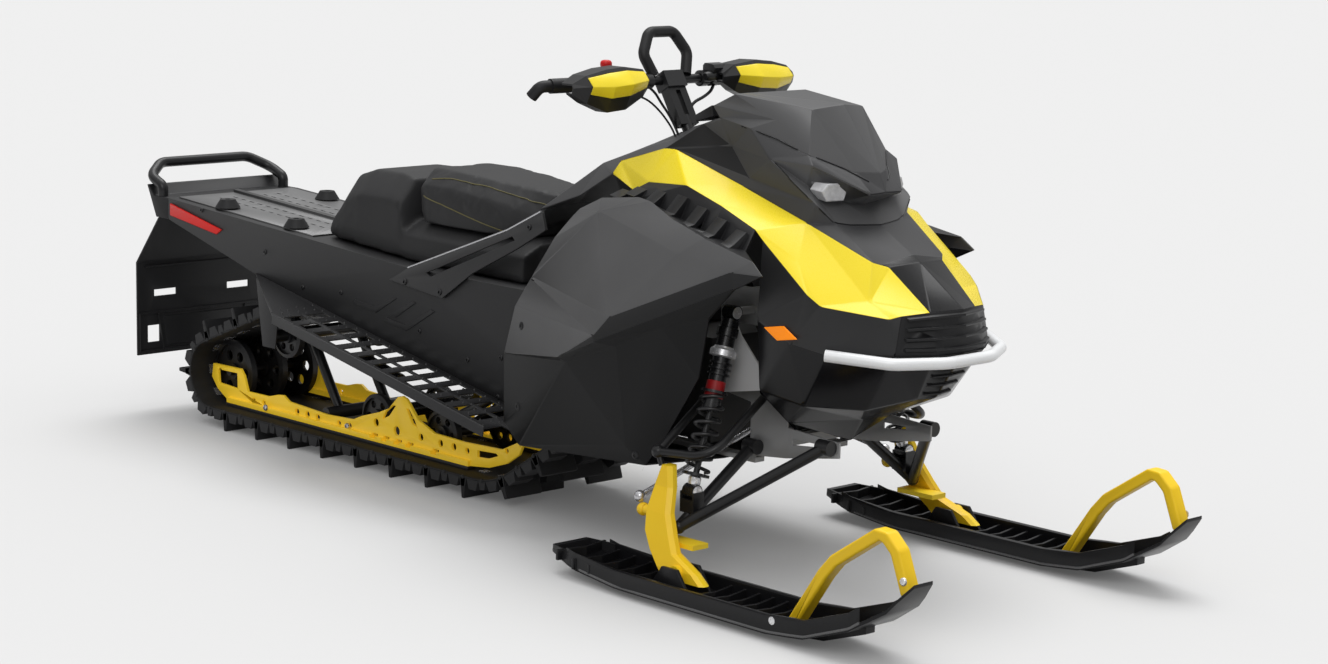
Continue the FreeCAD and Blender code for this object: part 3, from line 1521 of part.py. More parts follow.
def seat_tail():
    """The storage bulge behind the cushion and its base below it."""
    rear_low = deck_z(tail_rear_x) + deck_thick + seat_gap
    front_low = tunnel_seat_top + seat_gap
    base_top = tunnel_seat_top + seat_lift - seat_gap

    def low_at(x):
        share = min(1.0, (x - tail_rear_x) / (tunnel_seat_x - tail_rear_x))
        return rear_low + share * (front_low - rear_low)

    sections = []
    for run, height, crown, shoulder, foot, level, lean in tail_section_shares:
        x = tail_rear_x + run * (seat_front_x - tail_rear_x)
        high = rear_low + height * (tail_top - rear_low)
        sections.append(cushion_section(x, low_at(x), high, tail_half,
                                        (crown, shoulder, foot, level, lean)))
    last = tail_section_shares[-1][2:]
    for x in (seat_rear_x - seat_gap * 2, tunnel_seat_x, seat_front_x):
        sections.append(cushion_section(x, low_at(x), base_top, tail_half, last))
    return ruled_solid(sections)


def tunnel_deck():
    """The slotted cooler panels on the tunnel behind the seat, with a rib between them."""
    x0 = tunnel_rear_x + deck_margin
    x1 = tail_rear_x - seat_gap
    outline = [(x0, deck_z(x0)), (x1, deck_z(x1)), (x1, deck_z(x1) + deck_thick),
               (x0, deck_z(x0) + deck_thick)]
    plate = side_plate(outline, -deck_half, deck_half)
    slots = []
    x = x0 + dash_end
    while x + dash_end < x1:
        for y in dash_rows:
            for side in (-1, 1):
                slots.append(Part.makeBox(dash_length, dash_width, deck_thick * 3,
                                          V(x, side * y - dash_width / 2,
                                            deck_z(x) - deck_thick)))
        x += dash_pitch
    rib = [(x, z + deck_rib_rise if z > deck_z(x) else z) for x, z in outline]
    plate = plate.cut(Part.makeCompound(slots))
    return plate.fuse(side_plate(rib, -deck_rib_half, deck_rib_half)).removeSplitter()


def rear_bumper():
    """The tube hoop standing on the tail housing."""
    half = tunnel_half - hoop_tube
    foot = V(tunnel_rear_x - hoop_foot, half, tunnel_rear_top + seat_gap)
    half_points = [
        foot,
        foot + V(0, 0, hoop_tube * 2),
        foot + V(-hoop_lean * 0.6, 0, hoop_rise * 0.62),
        V(foot.x - hoop_lean, half * hoop_top_share, foot.z + hoop_rise),
    ]
    points = half_points + [V(p.x, -p.y, p.z) for p in half_points[::-1]]
    return bent_bar(points, hoop_tube, hoop_bend)


def rear_panel():
    """The tail housing across the tunnel's end, with its upright lip."""
    x0 = tunnel_rear_x - seat_gap
    top = tunnel_rear_top
    low = tunnel_rear_top - side_drop
    outline = [
        (x0, low), (x0, top), (x0 - lip_out * 0.7, top), (x0 - lip_out, top + lip_rise),
        (x0 - lip_out - panel_wall * 1.5, top + lip_rise), (x0 - lip_out * 0.62, low),
    ]
    inside = [
        (x0 - panel_wall, low - panel_wall), (x0 - panel_wall, top - panel_wall),
        (x0 - lip_out * 0.66, top - panel_wall), (x0 - lip_out * 0.62, low + panel_wall),
        (x0 - lip_out * 0.56, low - panel_wall),
    ]
    body = side_plate(outline, -tunnel_half, tunnel_half)
    return body.cut(side_plate(inside, panel_wall - tunnel_half, tunnel_half - panel_wall))


def snow_flap():
    """The rubber sheet behind the track."""
    x0 = tunnel_rear_x - lip_out * 0.45
    z0 = tunnel_rear_top - side_drop - seat_gap
    outline = [
        (x0, z0), (flap_x, flap_bend_z), (flap_x, flap_low_z),
        (flap_x - flap_sheet, flap_low_z), (flap_x - flap_sheet, flap_bend_z),
        (x0 - flap_sheet * 1.2, z0),
    ]
    body = side_plate(outline, -tunnel_half, tunnel_half)
    rise = flap_bend_z - flap_low_z
    cuts = []
    for y_low, y_high, z_low, z_high in flap_window_shares:
        for side in (-1, 1):
            ys = sorted((side * y_low * tunnel_half, side * y_high * tunnel_half))
            cuts.append(Part.makeBox(flap_sheet * 3, ys[1] - ys[0], (z_high - z_low) * rise,
                                     V(flap_x - flap_sheet * 2, ys[0],
                                       flap_low_z + z_low * rise)))
    return body.cut(Part.makeCompound(cuts))


def taillight():
    """The red strip on the tunnel's side (the left one)."""
    x0 = tunnel_rear_x + deck_margin
    outline = shares_to_points(light_shares, x0, light_run,
                               tunnel_rear_top - light_rise - deck_margin, light_rise)
    y = tunnel_half + seat_gap
    return side_plate(outline, y, y + panel_wall)


def cargo_anchors():
    """Round tie-down studs on the deck, each with a socket for a load's pin."""
    studs = []
    for x, y in anchor_places:
        for side in (-1, 1):
            base = V(x, side * y, deck_z(x) + deck_thick + seat_gap + rear_slope() * anchor_radius)
            stud = Part.makeCone(anchor_radius, anchor_radius * 0.6, anchor_height, base)
            socket = Part.makeCylinder(anchor_bore, anchor_height, base + V(0, 0, anchor_floor))
            studs.append(stud.cut(socket))
    return Part.makeCompound(studs)


def side_strut():
    """The slotted brace from the tunnel's side up to the console (the left one)."""
    outline = shares_to_points(strut_outline_shares, strut_x, strut_run, strut_z, strut_reach)
    slot = shares_to_points(strut_slot_shares, strut_x, strut_run, strut_z, strut_reach)
    y = tunnel_half + seat_gap
    plate = side_plate(outline, y, y + panel_wall * 2)
    return plate.cut(side_plate(slot, y - panel_wall, y + panel_wall * 3))


def front_bumper():
    """The bright tube across the nose."""
    points = [V(x, y, z) for x, y, z in bumper_points(-1)]
    points += [V(x, y, z) for x, y, z in bumper_points(1)[::-1]]
    return bent_bar(points, bumper_tube, bumper_bend)


def bumper_points(side):
    base = corner("brow_line_front", side)
    out = V(bumper_tube, 0, 0)
    side_way = V(0, side, 0)
    start = base + out * 0.6 + side_way * bumper_seat
    mid = V(corner("grille_low_side", side).x + bumper_stand, side * bumper_mid,
            corner("grille_low_side", side).z - bumper_tube)
    front = V(corner("grille_low_nose", side).x + bumper_stand, side * bumper_front,
              corner("grille_low_nose", side).z - bumper_tube)
    return [(p.x, p.y, p.z) for p in (start, mid, front)]


def reflector(side):
    """An amber lens on the nose's side."""
    base = corner("brow_line_mid", side)
    shares = [(-1.0, 0.9), (-0.45, 0.0), (0.35, 0.4), (-0.2, 1.3)]
    outline = [(base.x + sx * reflector_run, base.z + sz * reflector_rise) for sx, sz in shares]
    y = base.y + side * seat_gap
    return side_plate(outline, min(y, y + side * panel_wall), max(y, y + side * panel_wall))


def gauge():
    """The display lying on the dash ahead of the bars."""
    low = corner("dash_top", 1)
    high = corner("pod_rear", 1)
    way = (high - low).normalize()
    up = V(-way.z, 0, way.x)
    start = low + way * gauge_set + up * seat_gap
    points = [start, start + way * gauge_run,
              start + way * gauge_run + up * gauge_rise, start + up * gauge_rise * 0.6]
    return side_plate([(p.x, p.z) for p in points], -gauge_half, gauge_half)


def steering_post():
    """The column with its bar clamp and its foot arm."""
    top = V(bar_x, 0, bar_z)
    foot = column_foot()
    clamp = Part.makeBox(clamp_size, clamp_size * 1.5, clamp_size,
                         V(-clamp_size / 2, -clamp_size * 0.75, -clamp_size * 0.6))
    clamp.rotate(V(0, 0, 0), LEFT, -math.degrees(post_tilt))
    clamp.translate(top)
    inner = V(tie_inner_x, 0, tie_inner_z)
    along = (inner - foot).dot(post_direction())
    middle = foot + post_direction() * along
    run = (middle - inner).Length + rod_end_radius
    arm = Part.makeBox(run, pitman_half * 2, bulk_plate,
                       V(-run, -pitman_half, rod_end_radius + pitman_gap))
    arm.rotate(V(0, 0, 0), LEFT, -math.degrees(post_tilt))
    arm.translate(middle)
    riser = Part.makeBox(riser_depth, riser_width, riser_length,
                         V(-riser_depth / 2, -riser_width / 2, -riser_length))
    slot = Part.makeBox(riser_depth * 2, riser_slot, riser_length * 0.55,
                        V(-riser_depth, -riser_slot / 2, -riser_length * 0.82))
    riser = riser.cut(slot)
    riser.rotate(V(0, 0, 0), LEFT, -math.degrees(post_tilt))
    riser.translate(top)
    column = rod(foot, top - post_direction() * riser_length * 0.8, post_radius)
    body = column.fuse(riser).fuse(clamp).fuse(arm)
    return body.cut(bar_line(bar_radius + seat_gap))


def bar_point(y_share):
    """A point on the bar's line, from the middle (0) to the end (1)."""
    out = max(0.0, y_share - bar_flat_share)
    return bar_x - bar_sweep * out, bar_z - bar_droop * out


def bar_line(radius):
    """A round bar of any radius along the handlebar's route."""
    points = []
    for share in (-1.0, -bar_flat_share, bar_flat_share, 1.0):
        x, z = bar_point(abs(share))
        points.append(V(x, share * bar_half, z))
    return bent_bar(points, radius, bar_bend)


def handlebar():
    return bar_line(bar_radius)


def grips():
    parts = []
    for side in (-1, 1):
        inner, way = bar_place(side, 0)
        end = inner - way * grip_length
        cap = end - way * seat_gap
        grip = bore_tube(cap, inner, grip_radius, grip_radius - bar_radius - seat_gap)
        route = [cap, end - way * hook_run,
                 end - way * hook_run + V(-hook_back, side * hook_out, -hook_drop)]
        parts.append(grip.fuse(bent_bar(route, bar_radius * 1.25, hook_run)))
    return Part.makeCompound(parts)


def guard_sections(side, wall):
    """The guard's C-shaped sections across the hand, shrunk by a wall."""
    sections = []
    for sy, top, low, bulge in guard_section_shares:
        y = side * (guard_y + sy * guard_run)
        z1 = guard_z + top * guard_rise - wall
        z0 = guard_z + low * guard_rise + wall
        rise = z1 - z0
        front = bulge * guard_depth - wall
        shift = wall * 2
        sections.append([
            V(guard_x - guard_depth * 0.7 - shift, y, z1), V(guard_x + front * 0.35, y, z1),
            V(guard_x + front, y, z0 + rise * 0.62), V(guard_x + front * 0.45, y, z0),
            V(guard_x - guard_depth * 0.35 - shift, y, z0)])
    return sections


def ruled_solid(sections):
    """A solid through polygons of equal count, flat facets between them."""
    body = None
    for first, second in zip(sections, sections[1:]):
        piece = wedge(first, second)
        body = piece if body is None else body.fuse(piece)
    return body


def hand_guard(side):
    """A moulded wind shield round the front of a hand, open behind."""
    shell = ruled_solid(guard_sections(side, 0)).cut(ruled_solid(guard_sections(side, guard_wall)))
    inner = guard_sections(side, guard_wall / 2)[0]
    target = (inner[0] + inner[2]) / 2
    mount = rod(V(bar_x, side * guard_y * 0.8, bar_z), V(target.x, target.y, target.z),
                guard_mount_radius)
    return solid_of(shell.fuse(mount).cut(bar_line(bar_radius + seat_gap)))


def guard_insert(side):
    """The coloured plate on the guard's front."""
    strips = []
    for first, second in zip(guard_sections(side, 0)[1:], guard_sections(side, 0)[2:-1]):
        base = []
        for section in (first, second):
            top = section[2] + (section[1] - section[2]) * 0.8
            low = section[2] + (section[3] - section[2]) * 0.45
            base.append((top, section[2], low))
        lift = AHEAD * insert_lift
        cover = AHEAD * (insert_lift + guard_wall * 0.6)
        for k in (0, 1):
            first_face = [base[0][k] + lift, base[0][k + 1] + lift,
                          base[0][k + 1] + cover, base[0][k] + cover]
            second_face = [base[1][k] + lift, base[1][k + 1] + lift,
                           base[1][k + 1] + cover, base[1][k] + cover]
            strips.append(wedge(first_face, second_face))
    body = strips[0]
    for piece in strips[1:]:
        body = body.fuse(piece)
    return body


def bar_place(side, out):
    """A point on the bar's line at a distance from the end of the grip."""
    x0, z0 = bar_point(1.0)
    x1, z1 = bar_point(bar_flat_share)
    end = V(x0, side * bar_half, z0)
    inner = V(x1, side * bar_flat_share * bar_half, z1)
    way = (inner - end).normalize()
    return end + way * (grip_length + out), way


def controls():
    """The brake perch with its lever on the left, the throttle on the right."""
    parts = []
    for side in (-1, 1):
        start, way = bar_place(side, seat_gap)
        block = rod(start, start + way * perch_run, perch_radius)
        front = start + way * (perch_run / 2)
        if side > 0:
            tip, _ = bar_place(side, -lever_reach)
            lever = rod(front + AHEAD * perch_radius, tip + AHEAD * lever_gap, lever_radius)
            block = block.fuse(rod(front, front + AHEAD * perch_radius, lever_radius * 2))
            block = block.fuse(lever)
        else:
            tip, _ = bar_place(side, -thumb_reach)
            down = V(-perch_radius, 0, -perch_radius * 1.4)
            block = block.fuse(rod(front, front + down, lever_radius * 2))
            block = block.fuse(rod(front + down, tip + down * 1.1, lever_radius))
        parts.append(block.cut(bar_line(bar_radius + seat_gap)))
    return Part.makeCompound(parts)


def kill_switch():
    """The red button on the throttle block."""
    start, way = bar_place(-1, seat_gap + perch_run / 2)
    base = start + V(0, 0, perch_radius + seat_gap * 2.5)
    return Part.makeCone(switch_radius, switch_radius * 0.8, switch_radius, base)


def grab_loop():
    """The upright loop above the bar's middle."""
    shares = [(-0.72, 0.0), (-1.0, 0.50), (-0.55, 1.0), (0.55, 1.0), (1.0, 0.50), (0.72, 0.0)]
    base_z = bar_z + bar_radius + seat_gap
    points = [V(bar_x - loop_back * sz, sy * loop_width, base_z + sz * loop_height)
              for sy, sz in shares]
    return bent_bar(points, loop_tube, loop_bend).cut(bar_line(bar_radius + seat_gap))


NODES = {}


def build():
    """Every node by its name."""
    NODES["tunnel"] = tunnel()
    NODES["tunnel_deck"] = tunnel_deck()
    NODES["running_boards"] = both_sides(running_board())
    NODES["rear_bumper"] = rear_bumper()
    NODES["rear_panel"] = rear_panel()
    NODES["taillights"] = both_sides(taillight())
    NODES["cargo_anchors"] = cargo_anchors()
    NODES["snow_flap"] = snow_flap()
    NODES["seat"] = seat()
    NODES["seat_tail"] = seat_tail()
    NODES["side_struts"] = both_sides(side_strut())
    NODES["hood"] = hood()
    NODES["side_cowls"] = Part.makeCompound([side_cowl(-1), side_cowl(1)])
    NODES["vents"] = Part.makeCompound([vent(-1), vent(1)])
    NODES["side_panel_right"] = side_panel(-1)
    NODES["side_panel_left"] = side_panel(1)
    NODES["windshield"] = windshield()
    NODES["headlights"] = Part.makeCompound([headlight(side, NODES["hood"])
                                             for side in (-1, 1)])
    NODES["nose"] = nose()
    NODES["grille"] = grille()
    NODES["belly_pan"] = belly_pan()
    NODES["front_bumper"] = front_bumper()
    NODES["reflectors"] = Part.makeCompound([reflector(-1), reflector(1)])
    NODES["gauge"] = gauge()
    NODES["bulkhead"] = bulkhead()
    NODES["engine"] = engine()
    NODES["rails"] = both_sides(rail())
    NODES["slides"] = both_sides(slide())
    NODES["rear_axle"] = rear_axle()
    NODES["idler_wheels"] = idler_wheels()
    NODES["rear_arm"] = suspension_arm(arm_foot, arm_top, rail_y * 0.6)
    NODES["front_arm"] = suspension_arm(front_arm_foot, front_arm_top, rail_y * 0.5)
    NODES["rear_shock"] = rear_shock()
    NODES["drive_axle"] = drive_axle()
    NODES["track"] = track()
    for side, word in ((-1, "right"), (1, "left")):
        NODES["spindle_" + word] = spindle(side)
        NODES["ski_" + word] = ski(side)
        NODES["ski_loop_" + word] = ski_loop(side)
        NODES["tie_rod_" + word] = tie_rod(side)
    NODES["upper_arms"] = Part.makeCompound([upper_arm(-1), upper_arm(1)])
    NODES["lower_arms"] = Part.makeCompound([lower_arm(-1), lower_arm(1)])
    NODES["front_shocks"] = Part.makeCompound([front_shock(-1), front_shock(1)])
    NODES["shock_springs"] = Part.makeCompound([
        spring(side_point(shock_low, side), side_point(shock_high, side)) for side in (-1, 1)])
    NODES["steering_post"] = steering_post()
    NODES["handlebar"] = handlebar()
    NODES["grips"] = grips()
    NODES["hand_guards"] = Part.makeCompound([hand_guard(-1), hand_guard(1)])
    NODES["guard_inserts"] = Part.makeCompound([guard_insert(-1), guard_insert(1)])
    NODES["controls"] = controls()
    NODES["kill_switch"] = kill_switch()
    NODES["grab_loop"] = grab_loop()


build()
os.makedirs("parts", exist_ok=True)
for name, shape in NODES.items():
    shape.exportStep("parts/" + name + ".step")
    print(name, len(shape.Solids), shape.isValid(), round(shape.Volume))
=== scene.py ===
import json
import math

import bmesh
import bpy
from mathutils import Matrix, Vector
from mathutils.bvhtree import BVHTree


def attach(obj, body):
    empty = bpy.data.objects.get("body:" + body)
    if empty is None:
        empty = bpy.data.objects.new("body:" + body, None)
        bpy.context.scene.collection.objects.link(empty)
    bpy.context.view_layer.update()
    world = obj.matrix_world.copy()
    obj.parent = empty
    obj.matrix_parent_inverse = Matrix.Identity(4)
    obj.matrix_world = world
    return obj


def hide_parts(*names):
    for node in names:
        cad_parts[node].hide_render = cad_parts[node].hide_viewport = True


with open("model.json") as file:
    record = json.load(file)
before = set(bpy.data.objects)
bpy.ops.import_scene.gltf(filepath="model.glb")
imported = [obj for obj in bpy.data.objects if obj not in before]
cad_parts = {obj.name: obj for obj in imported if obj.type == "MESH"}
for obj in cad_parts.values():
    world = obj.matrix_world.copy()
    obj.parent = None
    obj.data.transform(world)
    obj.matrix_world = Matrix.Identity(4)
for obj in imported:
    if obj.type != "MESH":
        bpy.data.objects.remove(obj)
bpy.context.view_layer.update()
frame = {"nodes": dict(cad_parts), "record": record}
NODES = frame["nodes"]
RECORD = frame["record"]
BODY = {node: body for body, nodes in RECORD["behaviour"]["bodies"].items() for node in nodes}
SLOT = {part["node"]: part["material_slot"] for part in RECORD["subparts"]}

# The sides' names, with the sign that y takes there
SIDES = (("right", -1), ("left", 1))

# The camera: where the photograph was taken from
CAMERA_PLACE = (5.137, -4.540, 1.596)
CAMERA_AZIMUTH = math.radians(46.525)
CAMERA_ELEVATION = math.radians(9.727)
CAMERA_ROLL = math.radians(1.146)
LENS = 77.26
SENSOR = 36.0
CLIP_END = 100

# The studio
FLOOR_HALF = 60.0
FLOOR_COLOR = (0.612, 0.612, 0.612, 1)
FLOOR_LIFT = 0.075
FLOOR_BOUNCE = (0.30, 0.30, 0.30, 1)
BACKGROUND = (0.855, 0.855, 0.855, 1)
WHITE = (1, 1, 1, 1)
SKY_LOW = 0.12
SKY_HIGH = 1.0
GLOSS_SHARE = 0.15
# A lamp's name, the way to it, its strength and its width in degrees
SUNS = (
    ("key", (-0.18, 0.30, 1.0), 1.60, 44.0),
    ("fill", (0.70, -0.80, 0.75), 0.60, 30.0),
)


def new_object(name, data):
    item = bpy.data.objects.new(name, data)
    bpy.context.collection.objects.link(item)
    return item


def camera():
    """The photograph's camera."""
    a, e, r = CAMERA_AZIMUTH, CAMERA_ELEVATION, CAMERA_ROLL
    back = Vector((math.sin(a) * math.cos(e), -math.cos(a) * math.cos(e), math.sin(e)))
    side = (-back).cross(Vector((0, 0, 1))).normalized()
    up = side.cross(-back)
    right = side * math.cos(r) + up * math.sin(r)
    top = up * math.cos(r) - side * math.sin(r)
    data = bpy.data.cameras.new("camera")
    data.lens = LENS
    data.sensor_width = SENSOR
    data.clip_end = CLIP_END
    item = new_object("camera", data)
    turn = Matrix((right, top, back)).transposed().to_4x4()
    item.matrix_world = Matrix.Translation(CAMERA_PLACE) @ turn
    bpy.context.scene.camera = item


def sun(name, way, strength, spread):
    data = bpy.data.lights.new(name, "SUN")
    data.energy = strength
    data.angle = math.radians(spread)
    item = new_object(name, data)
    item.matrix_world = Vector(way).to_track_quat("Z", "Y").to_matrix().to_4x4()


def node(tree, kind, values=None, **settings):
    """A shader node with its settings and the values of its inputs."""
    item = tree.nodes.new("ShaderNode" + kind)
    for key, value in settings.items():
        setattr(item, key, value)
    set_inputs(item, values or {})
    return item


def set_inputs(item, values):
    for key, value in values.items():
        item.inputs[key].default_value = value


def greater(tree, first, second):
    """The greater of two values."""
    item = node(tree, "Math", operation="MAXIMUM")
    tree.links.new(first, item.inputs[0])
    tree.links.new(second, item.inputs[1])
    return item.outputs[0]


def sky():
    """A white dome, darker low down; what looks at it straight sees an even grey."""
    world = bpy.data.worlds.new("studio")
    bpy.context.scene.world = world
    world.use_nodes = True
    tree = world.node_tree
    tree.nodes.clear()
    link = tree.links.new
    place = node(tree, "TexCoord")
    axes = node(tree, "SeparateXYZ")
    link(place.outputs["Generated"], axes.inputs[0])
    level = node(tree, "MapRange", {"From Min": 0, "From Max": 1,
                                    "To Min": SKY_LOW, "To Max": SKY_HIGH})
    link(axes.outputs["Z"], level.inputs["Value"])
    lit = node(tree, "Background", {"Color": WHITE})
    link(level.outputs["Result"], lit.inputs["Strength"])
    seen = node(tree, "Background", {"Color": BACKGROUND, "Strength": 1})
    path = node(tree, "LightPath")
    gloss = node(tree, "Math", {1: GLOSS_SHARE}, operation="MULTIPLY")
    link(path.outputs["Is Glossy Ray"], gloss.inputs[0])
    clear = greater(tree, path.outputs["Is Camera Ray"], path.outputs["Is Transmission Ray"])
    mix = node(tree, "MixShader")
    link(greater(tree, clear, gloss.outputs[0]), mix.inputs["Fac"])
    link(lit.outputs[0], mix.inputs[1])
    link(seen.outputs[0], mix.inputs[2])
    link(mix.outputs[0], node(tree, "OutputWorld").inputs["Surface"])


def floor_material():
    """Pale where it is seen, darker in the light that it throws back."""
    mat = bpy.data.materials.new("floor")
    mat.use_nodes = True
    tree = mat.node_tree
    shader = tree.nodes["Principled BSDF"]
    set_inputs(shader, {"Roughness": 1.0, "Specular IOR Level": 0.0,
                        "Emission Color": WHITE, "Emission Strength": FLOOR_LIFT})
    path = node(tree, "LightPath")
    seen = greater(tree, path.outputs["Is Camera Ray"], path.outputs["Is Transmission Ray"])
    tone = node(tree, "Mix", {"A": FLOOR_BOUNCE, "B": FLOOR_COLOR}, data_type="RGBA")
    tree.links.new(greater(tree, seen, path.outputs["Is Glossy Ray"]), tone.inputs["Factor"])
    tree.links.new(tone.outputs["Result"], shader.inputs["Base Color"])
    return mat


def studio():
    """A pale floor without an end, a soft sky and two wide lamps far away."""
    bpy.context.scene.view_settings.view_transform = "Standard"
    mesh = bpy.data.meshes.new("floor")
    h = FLOOR_HALF
    mesh.from_pydata([(-h, -h, 0), (h, -h, 0), (h, h, 0), (-h, h, 0)], [], [(0, 1, 2, 3)])
    mesh.materials.append(floor_material())
    new_object("floor", mesh)
    sky()
    for row in SUNS:
        sun(*row)


# How every finish is built: fine grain over broad blotches, with worn edges
GRAIN_DETAIL = 3
GRAIN_SHARE = 0.35
BLOTCH_SCALE = 4
BLOTCH_DETAIL = 5
TONE_LOW, TONE_HIGH = 0.35, 1.0
EDGE_LOW, EDGE_HIGH = 0.52, 0.60
WORN_GAIN, WORN_LIFT = 1.7, 0.03
ROUGHNESS_SPREAD = 0.08
ROUGHNESS_LEAST = 0.02
BUMP_DISTANCE = 0.0006


def finish(name, color, roughness, metal=0.0, grain=400.0, bump=0.15, spread=0.15,
           specular=0.5, coat=0.0, wear=0.0, streak=None, glow=0.0):
    """A procedural finish: grain in the colour, the roughness and the bump, paler on edges."""
    mat = bpy.data.materials.new(name)
    mat.use_nodes = True
    tree = mat.node_tree
    link = tree.links.new
    shader = tree.nodes["Principled BSDF"]
    spot = node(tree, "TexCoord").outputs["Object"]
    broad = node(tree, "TexNoise", {"Scale": BLOTCH_SCALE, "Detail": BLOTCH_DETAIL})
    link(spot, broad.inputs["Vector"])
    if streak:
        stretch = node(tree, "Mapping", {"Scale": streak})
        link(spot, stretch.inputs["Vector"])
        spot = stretch.outputs["Vector"]
    fine = node(tree, "TexNoise", {"Scale": grain, "Detail": GRAIN_DETAIL})
    link(spot, fine.inputs["Vector"])
    mixed = node(tree, "Math", {1: GRAIN_SHARE}, operation="MULTIPLY_ADD")
    link(fine.outputs["Fac"], mixed.inputs[0])
    link(broad.outputs["Fac"], mixed.inputs[2])
    ramp = node(tree, "MapRange", {"From Min": TONE_LOW, "From Max": TONE_HIGH,
                                   "To Min": 1 - spread, "To Max": 1 + spread})
    link(mixed.outputs[0], ramp.inputs["Value"])
    tint = node(tree, "VectorMath", {0: color}, operation="SCALE")
    link(ramp.outputs["Result"], tint.inputs["Scale"])
    shown = tint.outputs["Vector"]
    if wear:
        edge = node(tree, "MapRange", {"From Min": EDGE_LOW, "From Max": EDGE_HIGH,
                                       "To Max": wear})
        link(node(tree, "NewGeometry").outputs["Pointiness"], edge.inputs["Value"])
        worn = (*[min(c * WORN_GAIN + WORN_LIFT, 1) for c in color], 1)
        rubbed = node(tree, "Mix", {"B": worn}, data_type="RGBA")
        link(edge.outputs["Result"], rubbed.inputs["Factor"])
        link(shown, rubbed.inputs["A"])
        shown = rubbed.outputs["Result"]
    link(shown, shader.inputs["Base Color"])
    rough = node(tree, "MapRange", {"To Min": max(roughness - ROUGHNESS_SPREAD, ROUGHNESS_LEAST),
                                    "To Max": min(roughness + ROUGHNESS_SPREAD, 1)})
    link(fine.outputs["Fac"], rough.inputs["Value"])
    link(rough.outputs["Result"], shader.inputs["Roughness"])
    relief = node(tree, "Bump", {"Strength": bump, "Distance": BUMP_DISTANCE})
    link(fine.outputs["Fac"], relief.inputs["Height"])
    link(relief.outputs["Normal"], shader.inputs["Normal"])
    set_inputs(shader, {"Metallic": metal, "Specular IOR Level": specular,
                        "Coat Weight": coat})
    # Glow is emission; in this scene it is painted light on unlit lenses, the reflectors and the
    # rails
    if glow:
        link(shown, shader.inputs["Emission Color"])
        shader.inputs["Emission Strength"].default_value = glow
    return mat


